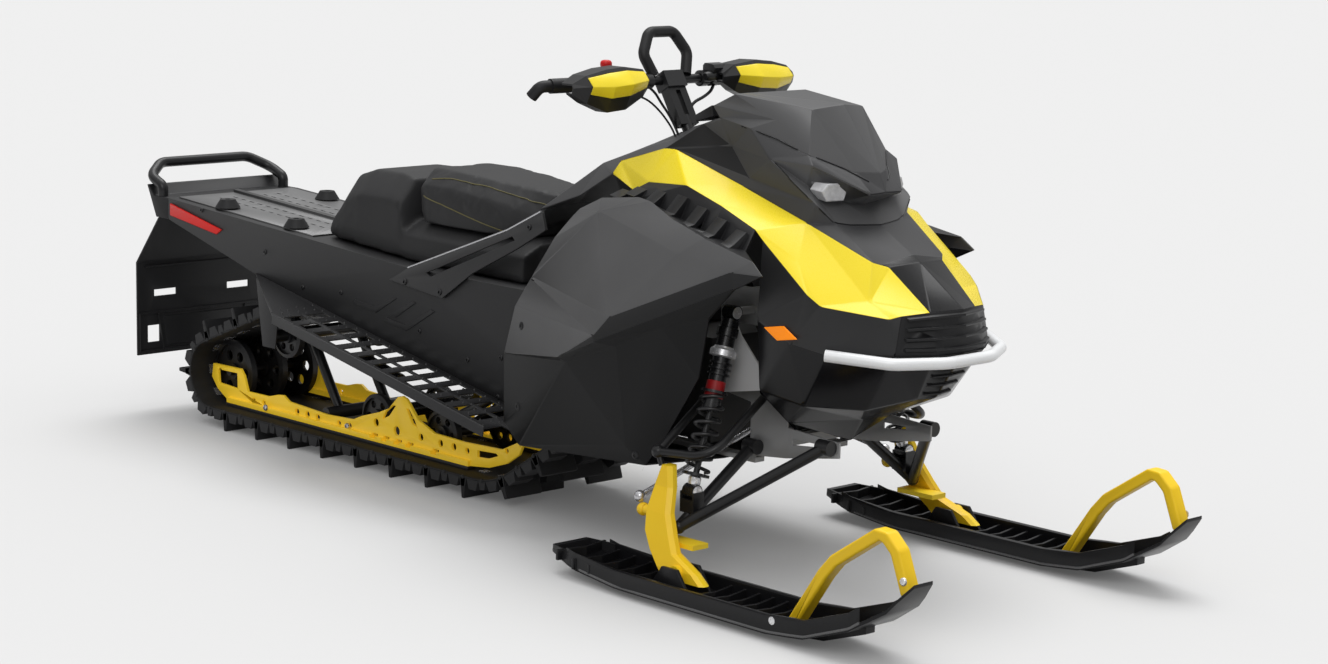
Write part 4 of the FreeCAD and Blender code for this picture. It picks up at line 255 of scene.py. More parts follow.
# Name: colour, roughness and what differs from a plain grained plastic
FINISHES = {
    "coated_aluminium": ((0.016, 0.016, 0.017), 0.46,
        dict(grain=900, bump=0.1, wear=0.3, specular=0.3)),
    "cooler_panel": ((0.17, 0.17, 0.172), 0.42,
        dict(metal=0.3, grain=700, bump=0.1, streak=(40, 700, 700))),
    "deck_dark": ((0.035, 0.035, 0.036), 0.5, dict(grain=800)),
    "black_tube": ((0.010, 0.010, 0.011), 0.33,
        dict(grain=700, bump=0.06, wear=0.25, specular=0.35)),
    "black_plastic": ((0.010, 0.010, 0.011), 0.42, dict(grain=900, bump=0.12, specular=0.3)),
    "gloss_plastic": ((0.006, 0.006, 0.007), 0.20, dict(grain=500, bump=0.01, specular=0.25)),
    "matte_plastic": ((0.016, 0.016, 0.017), 0.58, dict(grain=1100, bump=0.22, specular=0.2)),
    "satin_plastic": ((0.086, 0.086, 0.088), 0.40, dict(grain=1000, bump=0.08, specular=0.3)),
    "grey_plastic": ((0.096, 0.096, 0.098), 0.48, dict(grain=1200, bump=0.18, specular=0.3)),
    "bonnet_plastic": ((0.048, 0.048, 0.050), 0.46, dict(grain=1200, bump=0.14, specular=0.3)),
    "lid_plastic": ((0.085, 0.085, 0.087), 0.44, dict(grain=1200, bump=0.14, specular=0.3)),
    "skirt_plastic": ((0.0075, 0.0075, 0.008), 0.38, dict(grain=1000, bump=0.1, specular=0.16)),
    "nose_plastic": ((0.026, 0.026, 0.027), 0.36, dict(grain=1000, bump=0.06, specular=0.3)),
    "yellow_plastic": ((1.0, 0.79, 0.028), 0.28,
        dict(grain=500, bump=0.02, spread=0.02, specular=0.35)),
    "yellow_metal": ((1.0, 0.64, 0.014), 0.40,
        dict(grain=600, bump=0.1, spread=0.06, wear=0.2, specular=0.4)),
    "yellow_loop": ((1.0, 0.65, 0.014), 0.42,
        dict(grain=600, bump=0.1, spread=0.05, specular=0.35)),
    # The rails' finish glows: painted light that brightens the rails where they lie in shade
    "rail_metal": ((1.0, 0.66, 0.030), 0.40,
        dict(grain=600, bump=0.1, spread=0.06, specular=0.4, glow=0.16)),
    "silver_tube": ((0.93, 0.94, 0.95), 0.30, dict(metal=0.05, bump=0.03, spread=0.03)),
    "grey_metal": ((0.30, 0.30, 0.302), 0.42, dict(metal=0.2, grain=500, bump=0.1, wear=0.3)),
    "strut_metal": ((0.022, 0.022, 0.023), 0.38,
        dict(metal=0.2, grain=700, bump=0.1, wear=0.8, specular=0.35)),
    "steel_rod": ((0.55, 0.55, 0.57), 0.26, dict(metal=0.8, grain=300, bump=0.05, spread=0.05)),
    "bright_steel": ((0.80, 0.80, 0.82), 0.25,
        dict(metal=0.6, grain=400, bump=0.05, spread=0.05)),
    "spring_steel": ((0.010, 0.010, 0.011), 0.30, dict(grain=500, bump=0.03)),
    "damper_metal": ((0.012, 0.012, 0.013), 0.26, dict(metal=0.1, grain=500, bump=0.05)),
    "engine_block": ((0.05, 0.05, 0.05), 0.6, dict(metal=0.2, grain=200, bump=0.4)),
    # The taillight lens's glow is painted light: the lamp is not lit, and the glow brightens its
    # red
    "red_lens": ((0.66, 0.014, 0.010), 0.22,
        dict(grain=300, bump=0.02, specular=0.25, glow=0.12)),
    # The amber reflector's glow is painted light: a reflector gives no light of its own
    "amber_lens": ((1.0, 0.27, 0.007), 0.24,
        dict(grain=300, bump=0.02, spread=0.05, specular=0.2, glow=0.35)),
    # The headlamp lens's glow is painted light: the lamp is not lit, and the glow brightens the
    # lens in shade
    "lamp_lens": ((0.42, 0.42, 0.43), 0.10,
        dict(grain=90, bump=0.3, spread=0.75, coat=0.6, glow=0.05)),
    "band_red": ((0.30, 0.012, 0.014), 0.35, dict(grain=300, bump=0.03, specular=0.3)),
    "cheek_metal": ((0.66, 0.66, 0.665), 0.45,
        dict(metal=0.1, grain=500, bump=0.08, spread=0.05)),
    "anchor_plastic": ((0.010, 0.010, 0.011), 0.48, dict(grain=900, bump=0.15, specular=0.3)),
    "rubber_sheet": ((0.018, 0.018, 0.019), 0.46, dict(grain=700, bump=0.15, specular=0.3)),
    "track_rubber": ((0.010, 0.010, 0.011), 0.60,
        dict(grain=500, bump=0.35, spread=0.3, wear=0.35, specular=0.3)),
    "grip_rubber": ((0.010, 0.010, 0.011), 0.50, dict(grain=900, bump=0.3, specular=0.35)),
    "wheel_plastic": ((0.010, 0.010, 0.011), 0.42,
        dict(grain=700, bump=0.12, wear=0.2, specular=0.35)),
    "slide_plastic": ((0.02, 0.02, 0.021), 0.5, dict(grain=700, bump=0.1)),
    "ski_plastic": ((0.008, 0.008, 0.009), 0.30,
        dict(grain=700, bump=0.06, wear=0.3, specular=0.22)),
    # The rims' gloss is real; their paler grey is a painted highlight along the skis' lower
    # edges
    "ski_rim_painted_highlight": ((0.11, 0.11, 0.112), 0.28, dict(grain=700, bump=0.04, specular=0.5)),
    "seat_vinyl": ((0.024, 0.024, 0.025), 0.52,
        dict(grain=700, bump=0.4, spread=0.12, specular=0.25)),
    "seat_piping": ((0.115, 0.10, 0.030), 0.55, dict(grain=1500, bump=0.3)),
    "guard_plastic": ((0.012, 0.012, 0.013), 0.38, dict(grain=900, bump=0.1, specular=0.35)),
    "lever_plastic": ((0.012, 0.012, 0.013), 0.36, dict(grain=700, bump=0.1)),
    "red_plastic": ((0.66, 0.01, 0.01), 0.3, dict(grain=300, bump=0.02, specular=0.3)),
}


def dress():
    """Every CAD node gets its slot's finish."""
    for name, slot in SLOT.items():
        data = NODES[name].data
        data.materials.clear()
        data.materials.append(MATS[slot])


def add_object(name, mesh, body, slot, *materials):
    """A new piece from a mesh, with its finishes, riding on its body."""
    item = new_object(name, mesh)
    for finish_name in materials:
        mesh.materials.append(MATS[finish_name])
    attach(item, body)
    return item


# Points nearer than this are one; faces that bend less than this are flat
WELD = 1e-5
FLAT = math.radians(1.0)


def clear_mesh(name):
    """A node's mesh, welded, with its flat faces whole again."""
    bm = bmesh.new()
    bm.from_mesh(NODES[name].data)
    bmesh.ops.remove_doubles(bm, verts=bm.verts, dist=WELD)
    bmesh.ops.dissolve_limit(bm, angle_limit=FLAT, verts=bm.verts, edges=bm.edges)
    return bm


def new_mesh(name, bm):
    """A mesh made from one that is under way."""
    mesh = bpy.data.meshes.new(name)
    bm.to_mesh(mesh)
    bm.free()
    return mesh


def evaluated_mesh(item):
    graph = bpy.context.evaluated_depsgraph_get()
    return bpy.data.meshes.new_from_object(item.evaluated_get(graph))


def side_of(point, sign):
    return Vector((point[0], sign * point[1], point[2]))


def along(row, steps, ends=0):
    """Points spaced evenly along each part of a broken line; with ends, its last point too."""
    for a, b in zip(row, row[1:]):
        for k in range(steps + ends):
            yield Vector(a).lerp(Vector(b), k / steps)


def surface(name):
    """A node's solids, to find where a line meets them."""
    bm = bmesh.new()
    bm.from_mesh(NODES[name].data)
    tree = BVHTree.FromBMesh(bm)
    bm.free()
    return tree


def lathe(bm, start, way, profile, sides=20):
    """Rings about a line, as (distance along it, radius), closed at both ends."""
    way = Vector(way).normalized()
    side = way.orthogonal().normalized()
    other = way.cross(side)
    rings = []
    for run, radius in profile:
        middle = Vector(start) + way * run
        turns = [2 * math.pi * k / sides for k in range(sides)]
        rings.append([bm.verts.new(middle + (side * math.cos(turn) + other * math.sin(turn))
                                   * radius) for turn in turns])
    for low, high in zip(rings, rings[1:]):
        for k in range(sides):
            n = (k + 1) % sides
            bm.faces.new((low[k], low[n], high[n], high[k]))
    bm.faces.new(list(reversed(rings[0])))
    bm.faces.new(rings[-1])


def block(bm, corners):
    """A closed solid from two matching outlines, the first one's face turned away."""
    low = [bm.verts.new(p) for p in corners[0]]
    high = [bm.verts.new(p) for p in corners[1]]
    bm.faces.new(list(reversed(low)))
    bm.faces.new(high)
    for k in range(len(low)):
        n = (k + 1) % len(low)
        bm.faces.new((low[k], low[n], high[n], high[k]))


# The least angle of an edge that stays sharp
SHARP = math.radians(35)


def piece(name, bm, body, slot, finish_name):
    """A new piece from a mesh under way, smooth but for its sharp edges."""
    bmesh.ops.recalc_face_normals(bm, faces=bm.faces)
    for face in bm.faces:
        face.smooth = True
    mesh = new_mesh(name, bm)
    mesh.set_sharp_from_angle(angle=SHARP)
    return add_object(name, mesh, body, slot, finish_name)


LINE_ROUNDS = 4
LINE_STEPS = 8
LINE_ORDER = 3


def rod_line(name, points, radius, body, slot, finish_name, smooth=True):
    """A round line through points, as a curve."""
    data = bpy.data.curves.new(name, "CURVE")
    data.dimensions = "3D"
    data.bevel_depth = radius
    data.bevel_resolution = LINE_ROUNDS
    data.resolution_u = LINE_STEPS
    data.use_fill_caps = True
    spline = data.splines.new("NURBS" if smooth else "POLY")
    spline.points.add(len(points) - 1)
    for spot, row in zip(spline.points, points):
        spot.co = (*row, 1)
    if smooth:
        spline.order_u = LINE_ORDER
        spline.use_endpoint_u = True
    add_object(name, data, body, slot, finish_name)


# The rails' rear window and lower holes, along and up, and how far across the cut goes
WINDOW = ((-1.287, 0.149), (-1.196, 0.151), (-1.194, 0.108), (-1.283, 0.112))
HOLES = tuple(((x - 0.012, 0.085), (x + 0.012, 0.085), (x + 0.011, 0.073), (x - 0.011, 0.073))
              for x in (-0.584, -0.536, -0.484, -0.437, -0.334))
CUT_Y = (0.10, 0.16)


def cut_mesh(name, outlines):
    """A node's clear mesh with openings cut through it on both sides."""
    bm = bmesh.new()
    for _, sign in SIDES:
        for outline in outlines:
            block(bm, [[Vector((x, sign * y, z)) for x, z in outline] for y in CUT_Y])
    bmesh.ops.recalc_face_normals(bm, faces=bm.faces)
    tool = new_object("opening", new_mesh("opening", bm))
    item = new_object("plain", new_mesh("plain", clear_mesh(name)))
    cut = item.modifiers.new("openings", "BOOLEAN")
    cut.object = tool
    cut.solver = "EXACT"
    cut.use_self = True
    bm = bmesh.new()
    bm.from_mesh(evaluated_mesh(item))
    bpy.data.objects.remove(item)
    bpy.data.objects.remove(tool)
    return bm


# Radii of the creases and rims, how many degrees each bends at least, and the steps
USUAL = (0.0, 0.001, 4.0, 50.0, 2)


def soften(name, numbers, finishes=None, paint=None, seam=None, openings=()):
    """A node's copy with rounded creases and rims, and a finish for each kind of face."""
    crease, rim, low, high, steps = numbers + USUAL[len(numbers):]
    bm = cut_mesh(name, openings) if openings else clear_mesh(name)
    if seam:
        bmesh.ops.bisect_plane(bm, geom=bm.verts[:] + bm.edges[:] + bm.faces[:],
                               plane_co=(seam, 0, 0), plane_no=(1, 0, 0))
    bmesh.ops.recalc_face_normals(bm, faces=bm.faces)
    width = max(crease, rim)
    weight = bm.edges.layers.float.new("bevel_weight_edge")
    for edge in bm.edges:
        if len(edge.link_faces) == 2:
            angle = math.degrees(edge.calc_face_angle(0))
            if angle > high:
                edge[weight] = rim / width
            elif angle > low:
                edge[weight] = crease / width
    for face in bm.faces:
        face.smooth = True
        face.material_index = paint(face) if paint else 0
    item = add_object(name + "_dressed", new_mesh(name + "_dressed", bm), BODY[name],
                      SLOT[name], *(finishes or [SLOT[name]]))
    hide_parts(name)
    bevel = item.modifiers.new("rounding", "BEVEL")
    bevel.limit_method = "WEIGHT"
    bevel.width = width
    bevel.segments = steps
    bevel.use_clamp_overlap = False
    bevel.harden_normals = True
    bevel.miter_outer = "MITER_SHARP"


# Corners of the covers, in metres, with y taken as its size
MARKS = {
    "skirt": [(0.4225, 0.374, 0.446), (0.585, 0.370, 0.503), (0.7225, 0.360, 0.563),
              (0.59375, 0.344, 0.278), (0.17125, 0.340, 0.264), (0.22625, 0.340, 0.216),
              (0.645, 0.330, 0.240), (0.7075, 0.330, 0.313), (0.80625, 0.330, 0.458),
              (0.835, 0.330, 0.593)],
    "lip": [(0.54125, 0.396, 0.511), (0.9175, 0.338, 0.669)],
    "dash": [(0.5775, 0.108, 0.981), (0.680, 0.118, 0.941), (0.770, 0.150, 0.879),
             (0.500, 0.150, 0.921), (0.5325, 0.150, 0.922), (0.500, 0.088, 0.945)],
    "socket": [(0.91875, 0.124, 0.876), (0.960, 0.060, 0.842), (0.970, 0.0, 0.836)],
}
NEAR = 0.007
BONNET_SEAM = 1.118
NOSE_LINE = 0.50
DASH_AREA = 2e-4
RIB_HALF = 0.0097


def on_mark(vert, kind):
    x, y, z = vert.co
    return any((x - a) ** 2 + (abs(y) - b) ** 2 + (z - c) ** 2 < NEAR ** 2
               for a, b, c in MARKS[kind])


def paint_side_panel(face):
    """The wing, the glossy lip under it, and the darker skirt."""
    if any(on_mark(v, "skirt") for v in face.verts):
        return 2
    return int(any(on_mark(v, "lip") for v in face.verts))


def paint_hood(face):
    """The bonnet's glossy front, the dull panels beside the dash and the lamp sockets."""
    if face.calc_center_median().x > BONNET_SEAM:
        return 1
    if all(on_mark(v, "dash") for v in face.verts):
        return 2
    return 3 if any(on_mark(v, "socket") for v in face.verts) else 0


def paint_nose(face):
    """The fascia's dull upper band and its glossy chin."""
    return int(min(v.co.z for v in face.verts) < NOSE_LINE)


def paint_deck(face):
    """The pale panels, and the dark dashes and rib on them."""
    middle = face.calc_center_median()
    return int(face.calc_area() < DASH_AREA or abs(middle.y) < RIB_HALF)


# Node; the first of its numbers, the others as usual; then its finishes, what tells them
# apart, and the seam or the openings that are cut in it
SIDE_PANEL = ((0.003, 0.0013, 3.0, 55.0, 3),
              ["grey_plastic", "gloss_plastic", "skirt_plastic"], paint_side_panel)
COVERS = (
    ("side_panel_right", *SIDE_PANEL),
    ("side_panel_left", *SIDE_PANEL),
    ("hood", (0.003, 0.0013, 3.0, 60.0, 3),
     ["bonnet_plastic", "gloss_plastic", "matte_plastic", "lid_plastic"], paint_hood,
     BONNET_SEAM),
    ("side_cowls", (0.004, 0.0013, 3.0, 55.0, 3)),
    ("windshield", (0.0018, 0.0010, 3.0, 62.0, 3), ["satin_plastic"]),
    ("nose", (0.005, 0.0013, 3.0, 60.0, 3), ["nose_plastic", "gloss_plastic"], paint_nose),
    ("vents", (0.0012, 0.0008, 20.0, 60.0)),
    ("grille", (0.001, 0.0006, 20.0, 60.0)),
    ("belly_pan", (0.004, 0.0013)),
    ("rear_panel", (0.004, 0.002)),
    ("tunnel", (0.002, 0.0006, 4.0, 60.0)),
    ("tunnel_deck", (0.0005, 0.0007, 4.0, 60.0, 1), ["cooler_panel", "deck_dark"],
     paint_deck),
    ("running_boards", (0.001, 0.0009, 4.0, 60.0, 1)),
    ("snow_flap", (0.002, 0.0015)),
    ("side_struts", (0.002, 0.0015)),
    ("taillights", (0.003, 0.003)),
    ("reflectors", (0.002, 0.002)),
    ("headlights", (0.002, 0.002)),
    ("bulkhead", (0.001, 0.001, 20.0, 60.0)),
    ("gauge", (0.002, 0.002)),
    ("guard_inserts", (0.0025, 0.0015, 8.0, 60.0)),
    # The rails get the glowing finish, painted light standing in for side light on them
    ("rails", (0.0005, 0.0008, 30.0, 60.0), ["rail_metal"], None, None, (WINDOW,) + HOLES),
    ("slides", (0.002, 0.002)),
    ("track", (0.001, 0.0022, 30.0, 60.0)),
    ("ski_right", (0.0012, 0.0012, 20.0, 60.0)),
    ("ski_loop_right", (0.006, 0.006, 3.0, 60.0, 4)),
    ("ski_left", (0.0012, 0.0012, 20.0, 60.0)),
    ("ski_loop_left", (0.006, 0.006, 3.0, 60.0, 4)),
)

# Node, voxel size, how far the start is drawn in, the most that it swells, and its fill
CUSHIONS = (
    ("seat", 0.0055, 0.002, 0.003, 0.75),
    ("seat_tail", 0.0070, 0.003, 0.004, 0.70),
)
CLOTH_FRAMES = 20
PRESSURE = 4.0
STIFFNESS = 25
BENDING = 1.0
EASE_ROUNDS = 3
EASE_SHARE = 0.5
MOST_FACES = 45000


def inflate(item, cap):
    """Pressure from inside swells the cushion; no point moves further than the cap."""
    before = [v.co.copy() for v in item.data.vertices]
    cloth = item.modifiers.new("swell", "CLOTH")
    cloth.settings.use_pressure = True
    cloth.settings.uniform_pressure_force = PRESSURE
    cloth.settings.effector_weights.gravity = 0
    cloth.settings.tension_stiffness = STIFFNESS
    cloth.settings.compression_stiffness = STIFFNESS
    cloth.settings.bending_stiffness = BENDING
    cloth.collision_settings.use_collision = False
    scene = bpy.context.scene
    for step in range(1, CLOTH_FRAMES + 1):
        scene.frame_set(step)
    swollen = evaluated_mesh(item)
    item.modifiers.remove(cloth)
    for vert, old, new in zip(item.data.vertices, before, swollen.vertices):
        way = new.co - old
        if way.length > cap:
            way = way * (cap / way.length)
        vert.co = old + way
    scene.frame_set(1)
    bpy.data.meshes.remove(swollen)


def cushion(name, voxel, inset, cap, fill):
    """A crowned soft form in the space of the node's plain solid."""
    bm = clear_mesh(name)
    bmesh.ops.triangulate(bm, faces=bm.faces)
    normals = {v: v.normal.copy() for v in bm.verts}
    for vert, normal in normals.items():
        vert.co -= normal * inset
    item = add_object(name + "_cushion", new_mesh(name + "_rough", bm), BODY[name], SLOT[name])
    remesh = item.modifiers.new("even", "REMESH")
    remesh.mode = "VOXEL"
    remesh.voxel_size = voxel
    smooth = item.modifiers.new("ease", "SMOOTH")
    smooth.iterations = EASE_ROUNDS
    smooth.factor = EASE_SHARE
    even = evaluated_mesh(item)
    item.modifiers.clear()
    item.data = even
    inflate(item, cap)
    for face in item.data.polygons:
        face.use_smooth = True
    item.data.materials.append(MATS["seat_vinyl"])
    if len(item.data.polygons) < MOST_FACES:
        fine = item.modifiers.new("fine", "SUBSURF")
        fine.levels = fine.render_levels = 1
    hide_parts(name)
    return item


# Lines of the seat's seams, for the left side
PIPING = (
    ((-0.372, 0.128, 0.772), (-0.30, 0.124, 0.779), (-0.187, 0.120, 0.776),
     (-0.037, 0.118, 0.769), (0.060, 0.116, 0.760), (0.094, 0.112, 0.752)),
    ((-0.385, 0.150, 0.722), (-0.330, 0.151, 0.713), (-0.265, 0.152, 0.701),
     (-0.137, 0.152, 0.676), (-0.060, 0.152, 0.662)),
)
PIPING_RADIUS = 0.0014
PIPING_RISE = 0.4
PIPING_STEPS = 8


def piping(seat):
    """Thin coloured piping laid in the seat's seams."""
    mesh = evaluated_mesh(seat)
    bm = bmesh.new()
    bm.from_mesh(mesh)
    tree = BVHTree.FromBMesh(bm)
    bm.free()
    bpy.data.meshes.remove(mesh)
    count = 0
    for row in PIPING:
        for _, sign in SIDES:
            line = []
            for spot in along(row, PIPING_STEPS):
                near, normal, _, _ = tree.find_nearest(side_of(spot, sign))
                line.append(near + normal * PIPING_RADIUS * PIPING_RISE)
            count += 1
            rod_line("seat_piping_%d" % count, line, PIPING_RADIUS, "chassis", "seat_vinyl",
                     "seat_piping")


# A button head, as shares of its height and radius, sunk a little and with so many sides
BOLT = ((0.0, 1.0), (0.45, 0.96), (0.85, 0.78), (1.0, 0.5), (1.0, 0.42), (0.45, 0.36))
BOLT_SINK = 0.0006
BOLT_SIDES = 12
# Lines to a surface start this far out
OUTSIDE = 0.60
# Piece, the right's and the left's node, slot, finish, radius and height; along and up
SCREWS = (
    ("tunnel_screws", ("tunnel", "tunnel"), "coated_aluminium", "black_tube", 0.007, 0.004,
     ((-0.113, 0.355), (0.012, 0.378), (0.002, 0.281), (-0.783, 0.448), (-0.62, 0.455),
      (-0.30, 0.40), (-0.95, 0.52), (-1.24, 0.60))),
    ("strut_screws", ("side_struts", "side_struts"), "strut_metal", "black_tube",
     0.008, 0.005, ((-0.348, 0.517), (-0.211, 0.509), (0.120, 0.705))),
    ("panel_fasteners", ("side_panel_right", "side_panel_left"), "grey_plastic",
     "black_plastic", 0.010, 0.003, ((0.24, 0.50), (0.23, 0.31), (0.62, 0.26))),
    ("rail_bolts", ("rails", "rails"), "yellow_metal", "steel_rod", 0.009, 0.006,
     ((-0.70, 0.085), (-1.05, 0.080), (-0.83, 0.082), (-0.40, 0.110))),
)
# On each ski and its loop: node, height of the head, and where, along and up
SKI_BOLTS = (("ski_", 0.0018, (1.231, 0.046)), ("ski_loop_", 0.005, (1.528, 0.178)),
             ("ski_loop_", 0.005, (1.216, 0.075)))
SKI_BOLT_RADIUS = 0.009


def seat_bolt(bm, tree, sign, spot, radius, height):
    """A button head seated where a line from one side meets a surface."""
    hit, normal, _, _ = tree.ray_cast(Vector((spot[0], sign * OUTSIDE, spot[1])),
                                      Vector((0, -sign, 0)))
    if hit is not None:
        lathe(bm, hit - normal * BOLT_SINK, normal,
              [(run * height, share * radius) for run, share in BOLT], BOLT_SIDES)


def fasteners():
    """Screws and bolts where such a machine has them."""
    for name, nodes, slot, finish_name, radius, height, spots in SCREWS:
        trees = [surface(part) for part in nodes]
        bm = bmesh.new()
        for spot in spots:
            for (_, sign), tree in zip(SIDES, trees):
                seat_bolt(bm, tree, sign, spot, radius, height)
        piece(name, bm, "chassis", slot, finish_name)
    for word, sign in SIDES:
        bm = bmesh.new()
        for part, height, spot in SKI_BOLTS:
            seat_bolt(bm, surface(part + word), sign, spot, SKI_BOLT_RADIUS, height)
        piece("ski_bolts_" + word, bm, "ski_set_" + word, "ski_plastic", "bright_steel")


# The circles that the belt turns about: along, up and radius
CIRCLES = ((-1.247, 0.146, 0.089), (-0.120, 0.307, 0.250), (0.262, 0.360, 0.089),
           (-0.935, 0.296, 0.062))


def belt_path(offset, count):
    """Points and outward directions spaced evenly along the track's loop."""
    circles = [(x, z, radius + offset) for x, z, radius in CIRCLES]
    runs = []
    for (x1, z1, r1), (x2, z2, r2) in zip(circles, circles[1:] + circles[:1]):
        gap = math.hypot(x2 - x1, z2 - z1)
        way = math.atan2(z2 - z1, x2 - x1) + math.asin((r1 - r2) / gap)
        out = (math.sin(way), -math.cos(way))
        runs.append(((x1 + out[0] * r1, z1 + out[1] * r1),
                     (x2 + out[0] * r2, z2 + out[1] * r2), out))
    spans = []
    for (start, end, out), (_, _, after), circle in zip(
            runs, runs[1:] + runs[:1], circles[1:] + circles[:1]):
        spans.append(("line", start, end, out, math.dist(start, end)))
        low = math.atan2(out[1], out[0])
        high = math.atan2(after[1], after[0])
        if high < low:
            high += 2 * math.pi
        spans.append(("arc", circle, low, high, (high - low) * circle[2]))
    whole = sum(span[-1] for span in spans)
    rows = []
    for k in range(count):
        left = whole * k / count
        for span in spans:
            if left <= span[-1]:
                break
            left -= span[-1]
        share = left / span[-1]
        if span[0] == "line":
            _, start, end, out, _ = span
            spot = [a + (b - a) * share for a, b in zip(start, end)]
        else:
            _, (x, z, radius), low, high, _ = span
            turn = low + (high - low) * share
            out = (math.cos(turn), math.sin(turn))
            spot = (x + out[0] * radius, z + out[1] * radius)
        rows.append((Vector((spot[0], 0, spot[1])), Vector((out[0], 0, out[1]))))
    return rows


PITCHES = 51
STEPS = 4
BELT_RISE = 0.006
TRACK_HALF = 0.1905
# Spans across that the blocks take: at the sides, and in the middle between two lugs
SIDE_SPANS = ((0.132, TRACK_HALF), (-TRACK_HALF, -0.132))
MIDDLE_SPAN = (-0.028, 0.028)
# Blocks on a pitch: at which of its steps, how high, half how long, and their spans
BLOCKS = ((0, 0.020, 0.013, SIDE_SPANS), (2, 0.024, 0.022, SIDE_SPANS + (MIDDLE_SPAN,)))
BLOCK_FOOT = -0.001
BLOCK_TOP = 0.62
ROD_END = ((0, 0.0055), (0.0032, 0.0050), (0.0042, 0.003))
ROD_DEPTH = 0.003
ROD_INSET = 0.002
ROD_SIDES = 10
CLIP = ((-0.013, -0.011), (0.013, -0.011), (0.013, 0.011), (-0.013, 0.011))
CLIP_Y = 0.118
CLIP_DEPTH = 0.0075
CLIP_THICK = 0.0022


def tread():
    """Low rubber blocks between the lugs, rod ends and guide clips."""
    rows = belt_path(BELT_RISE, PITCHES * STEPS)
    left = Vector((0, 1, 0))
    bm = bmesh.new()
    clips = bmesh.new()
    for k in range(PITCHES):
        for step, high, half, spans in BLOCKS:
            spot, out = rows[STEPS * k + step]
            way = left.cross(out)
            shape = [(-half, BLOCK_FOOT), (half, BLOCK_FOOT), (half * BLOCK_TOP, high),
                     (-half * BLOCK_TOP, high)]
            for span in spans:
                block(bm, [[spot + way * a + out * b + left * y for a, b in shape]
                           for y in span])
        spot, out = rows[STEPS * k]
        way = left.cross(out)
        for _, sign in SIDES:
            lathe(bm, spot - out * ROD_DEPTH + left * sign * (TRACK_HALF - ROD_INSET),
                  left * sign, ROD_END, ROD_SIDES)
            middle = spot - out * CLIP_DEPTH + left * sign * CLIP_Y
            block(clips, [[middle + way * a + left * b + out * c for a, b in CLIP]
                          for c in (0, CLIP_THICK)])
    piece("tread_blocks", bm, "chassis", "track_rubber", "track_rubber")
    piece("guide_clips", clips, "chassis", "track_rubber", "steel_rod")


BOARD_REAR = (-0.993, 0.460)
BOARD_SLOPE = 0.185
BOARD_NEAR = 0.003
# First place, spacing and number of the teeth, along and across, and each other row's shift
TEETH_X = (-0.72, 0.0155, 66)
TEETH_Y = (0.230, 0.017, 9)
TEETH_SHIFT = 0.004
TEETH_EACH = 3
TOOTH = ((0, 0.0030), (0.0040, 0.0012))
TOOTH_SINK = 0.0005
TOOTH_SIDES = 6
ABOVE = 0.7


def board_teeth():
    """Small serrations that stand on the running boards' bars."""
    tree = surface("running_boards")
    bm = bmesh.new()
    for _, sign in SIDES:
        for k in range(TEETH_X[2]):
            for m in range(TEETH_Y[2]):
                x = TEETH_X[0] + TEETH_X[1] * k
                y = TEETH_Y[0] + TEETH_Y[1] * m + TEETH_SHIFT * (k % 2)
                hit, normal, _, _ = tree.ray_cast(Vector((x, sign * y, ABOVE)),
                                                  Vector((0, 0, -1)))
                level = BOARD_REAR[1] - (x - BOARD_REAR[0]) * BOARD_SLOPE
                if (hit is not None and abs(hit.z - level) <= BOARD_NEAR
                        and (k + m) % TEETH_EACH == 0):
                    lathe(bm, hit - normal * TOOTH_SINK, normal, TOOTH, TOOTH_SIDES)
    piece("board_teeth", bm, "chassis", "coated_aluminium", "deck_dark")


SHOCK_LOW = (0.808, 0.342, 0.214)
SHOCK_HIGH = (0.790, 0.215, 0.592)
# Turned parts on a damper: the share of its length where each starts, its sides, its profile
SHOCK_RING = ((0, 0.021), (0.001, 0.0255), (0.005, 0.0255), (0.006, 0.021))
SHOCK_PARTS = {
    "bright": ((0.745, 20, ((0, 0.024), (0.003, 0.030), (0.016, 0.030), (0.020, 0.024),
                            (0.024, 0.0225))),
               (0.035, 20, ((0, 0.012), (0.004, 0.014), (0.016, 0.014), (0.020, 0.010)))),
    "red": ((0.52, 28, ((0, 0.0204), (0.001, 0.0212), (0.036, 0.0212), (0.037, 0.0204))),),
    "dark": ((0.645, 28, SHOCK_RING), (0.675, 28, SHOCK_RING), (0.705, 28, SHOCK_RING),
             (0.86, 28, ((0, 0.021), (0.002, 0.0235), (0.020, 0.0235), (0.022, 0.019)))),
}
# The bolt's bush at a damper's end, and half its length
BUSH = ((0, 0.010), (0.002, 0.0135), (0.036, 0.0135), (0.038, 0.010))
BUSH_HALF = 0.019


def shock_trim():
    """The front dampers' bright top mounts, collars and red bodies."""
    meshes = {tone: bmesh.new() for tone in SHOCK_PARTS}
    for _, sign in SIDES:
        low, high = side_of(SHOCK_LOW, sign), side_of(SHOCK_HIGH, sign)
        for tone, parts in SHOCK_PARTS.items():
            for share, sides, profile in parts:
                lathe(meshes[tone], low.lerp(high, share), high - low, profile, sides)
        for end in (low, high):
            lathe(meshes["bright"], end - Vector((BUSH_HALF, 0, 0)), (1, 0, 0), BUSH)
    piece("shock_collars", meshes["bright"], "chassis", "damper_metal", "bright_steel")
    piece("shock_bands", meshes["red"], "chassis", "damper_metal", "band_red")
    piece("shock_rings", meshes["dark"], "chassis", "damper_metal", "damper_metal")


# Each strut's top edge, for the left side, where a bright rod paints the edge's highlight; and
# the rod's radius
STRUT_EDGE = ((-0.338, 0.2215, 0.554), (-0.10, 0.2215, 0.6395), (0.038, 0.2215, 0.6892),
              (0.158, 0.2215, 0.746))
STRUT_EDGE_RADIUS = 0.0024


def strut_highlight_rods():
    """A bright steel rod along each strut's top, a painted highlight on its edge."""
    for word, sign in SIDES:
        rod_line("strut_highlight_rod_" + word, [side_of(p, sign) for p in STRUT_EDGE],
                 STRUT_EDGE_RADIUS, "chassis", "strut_metal", "steel_rod", False)


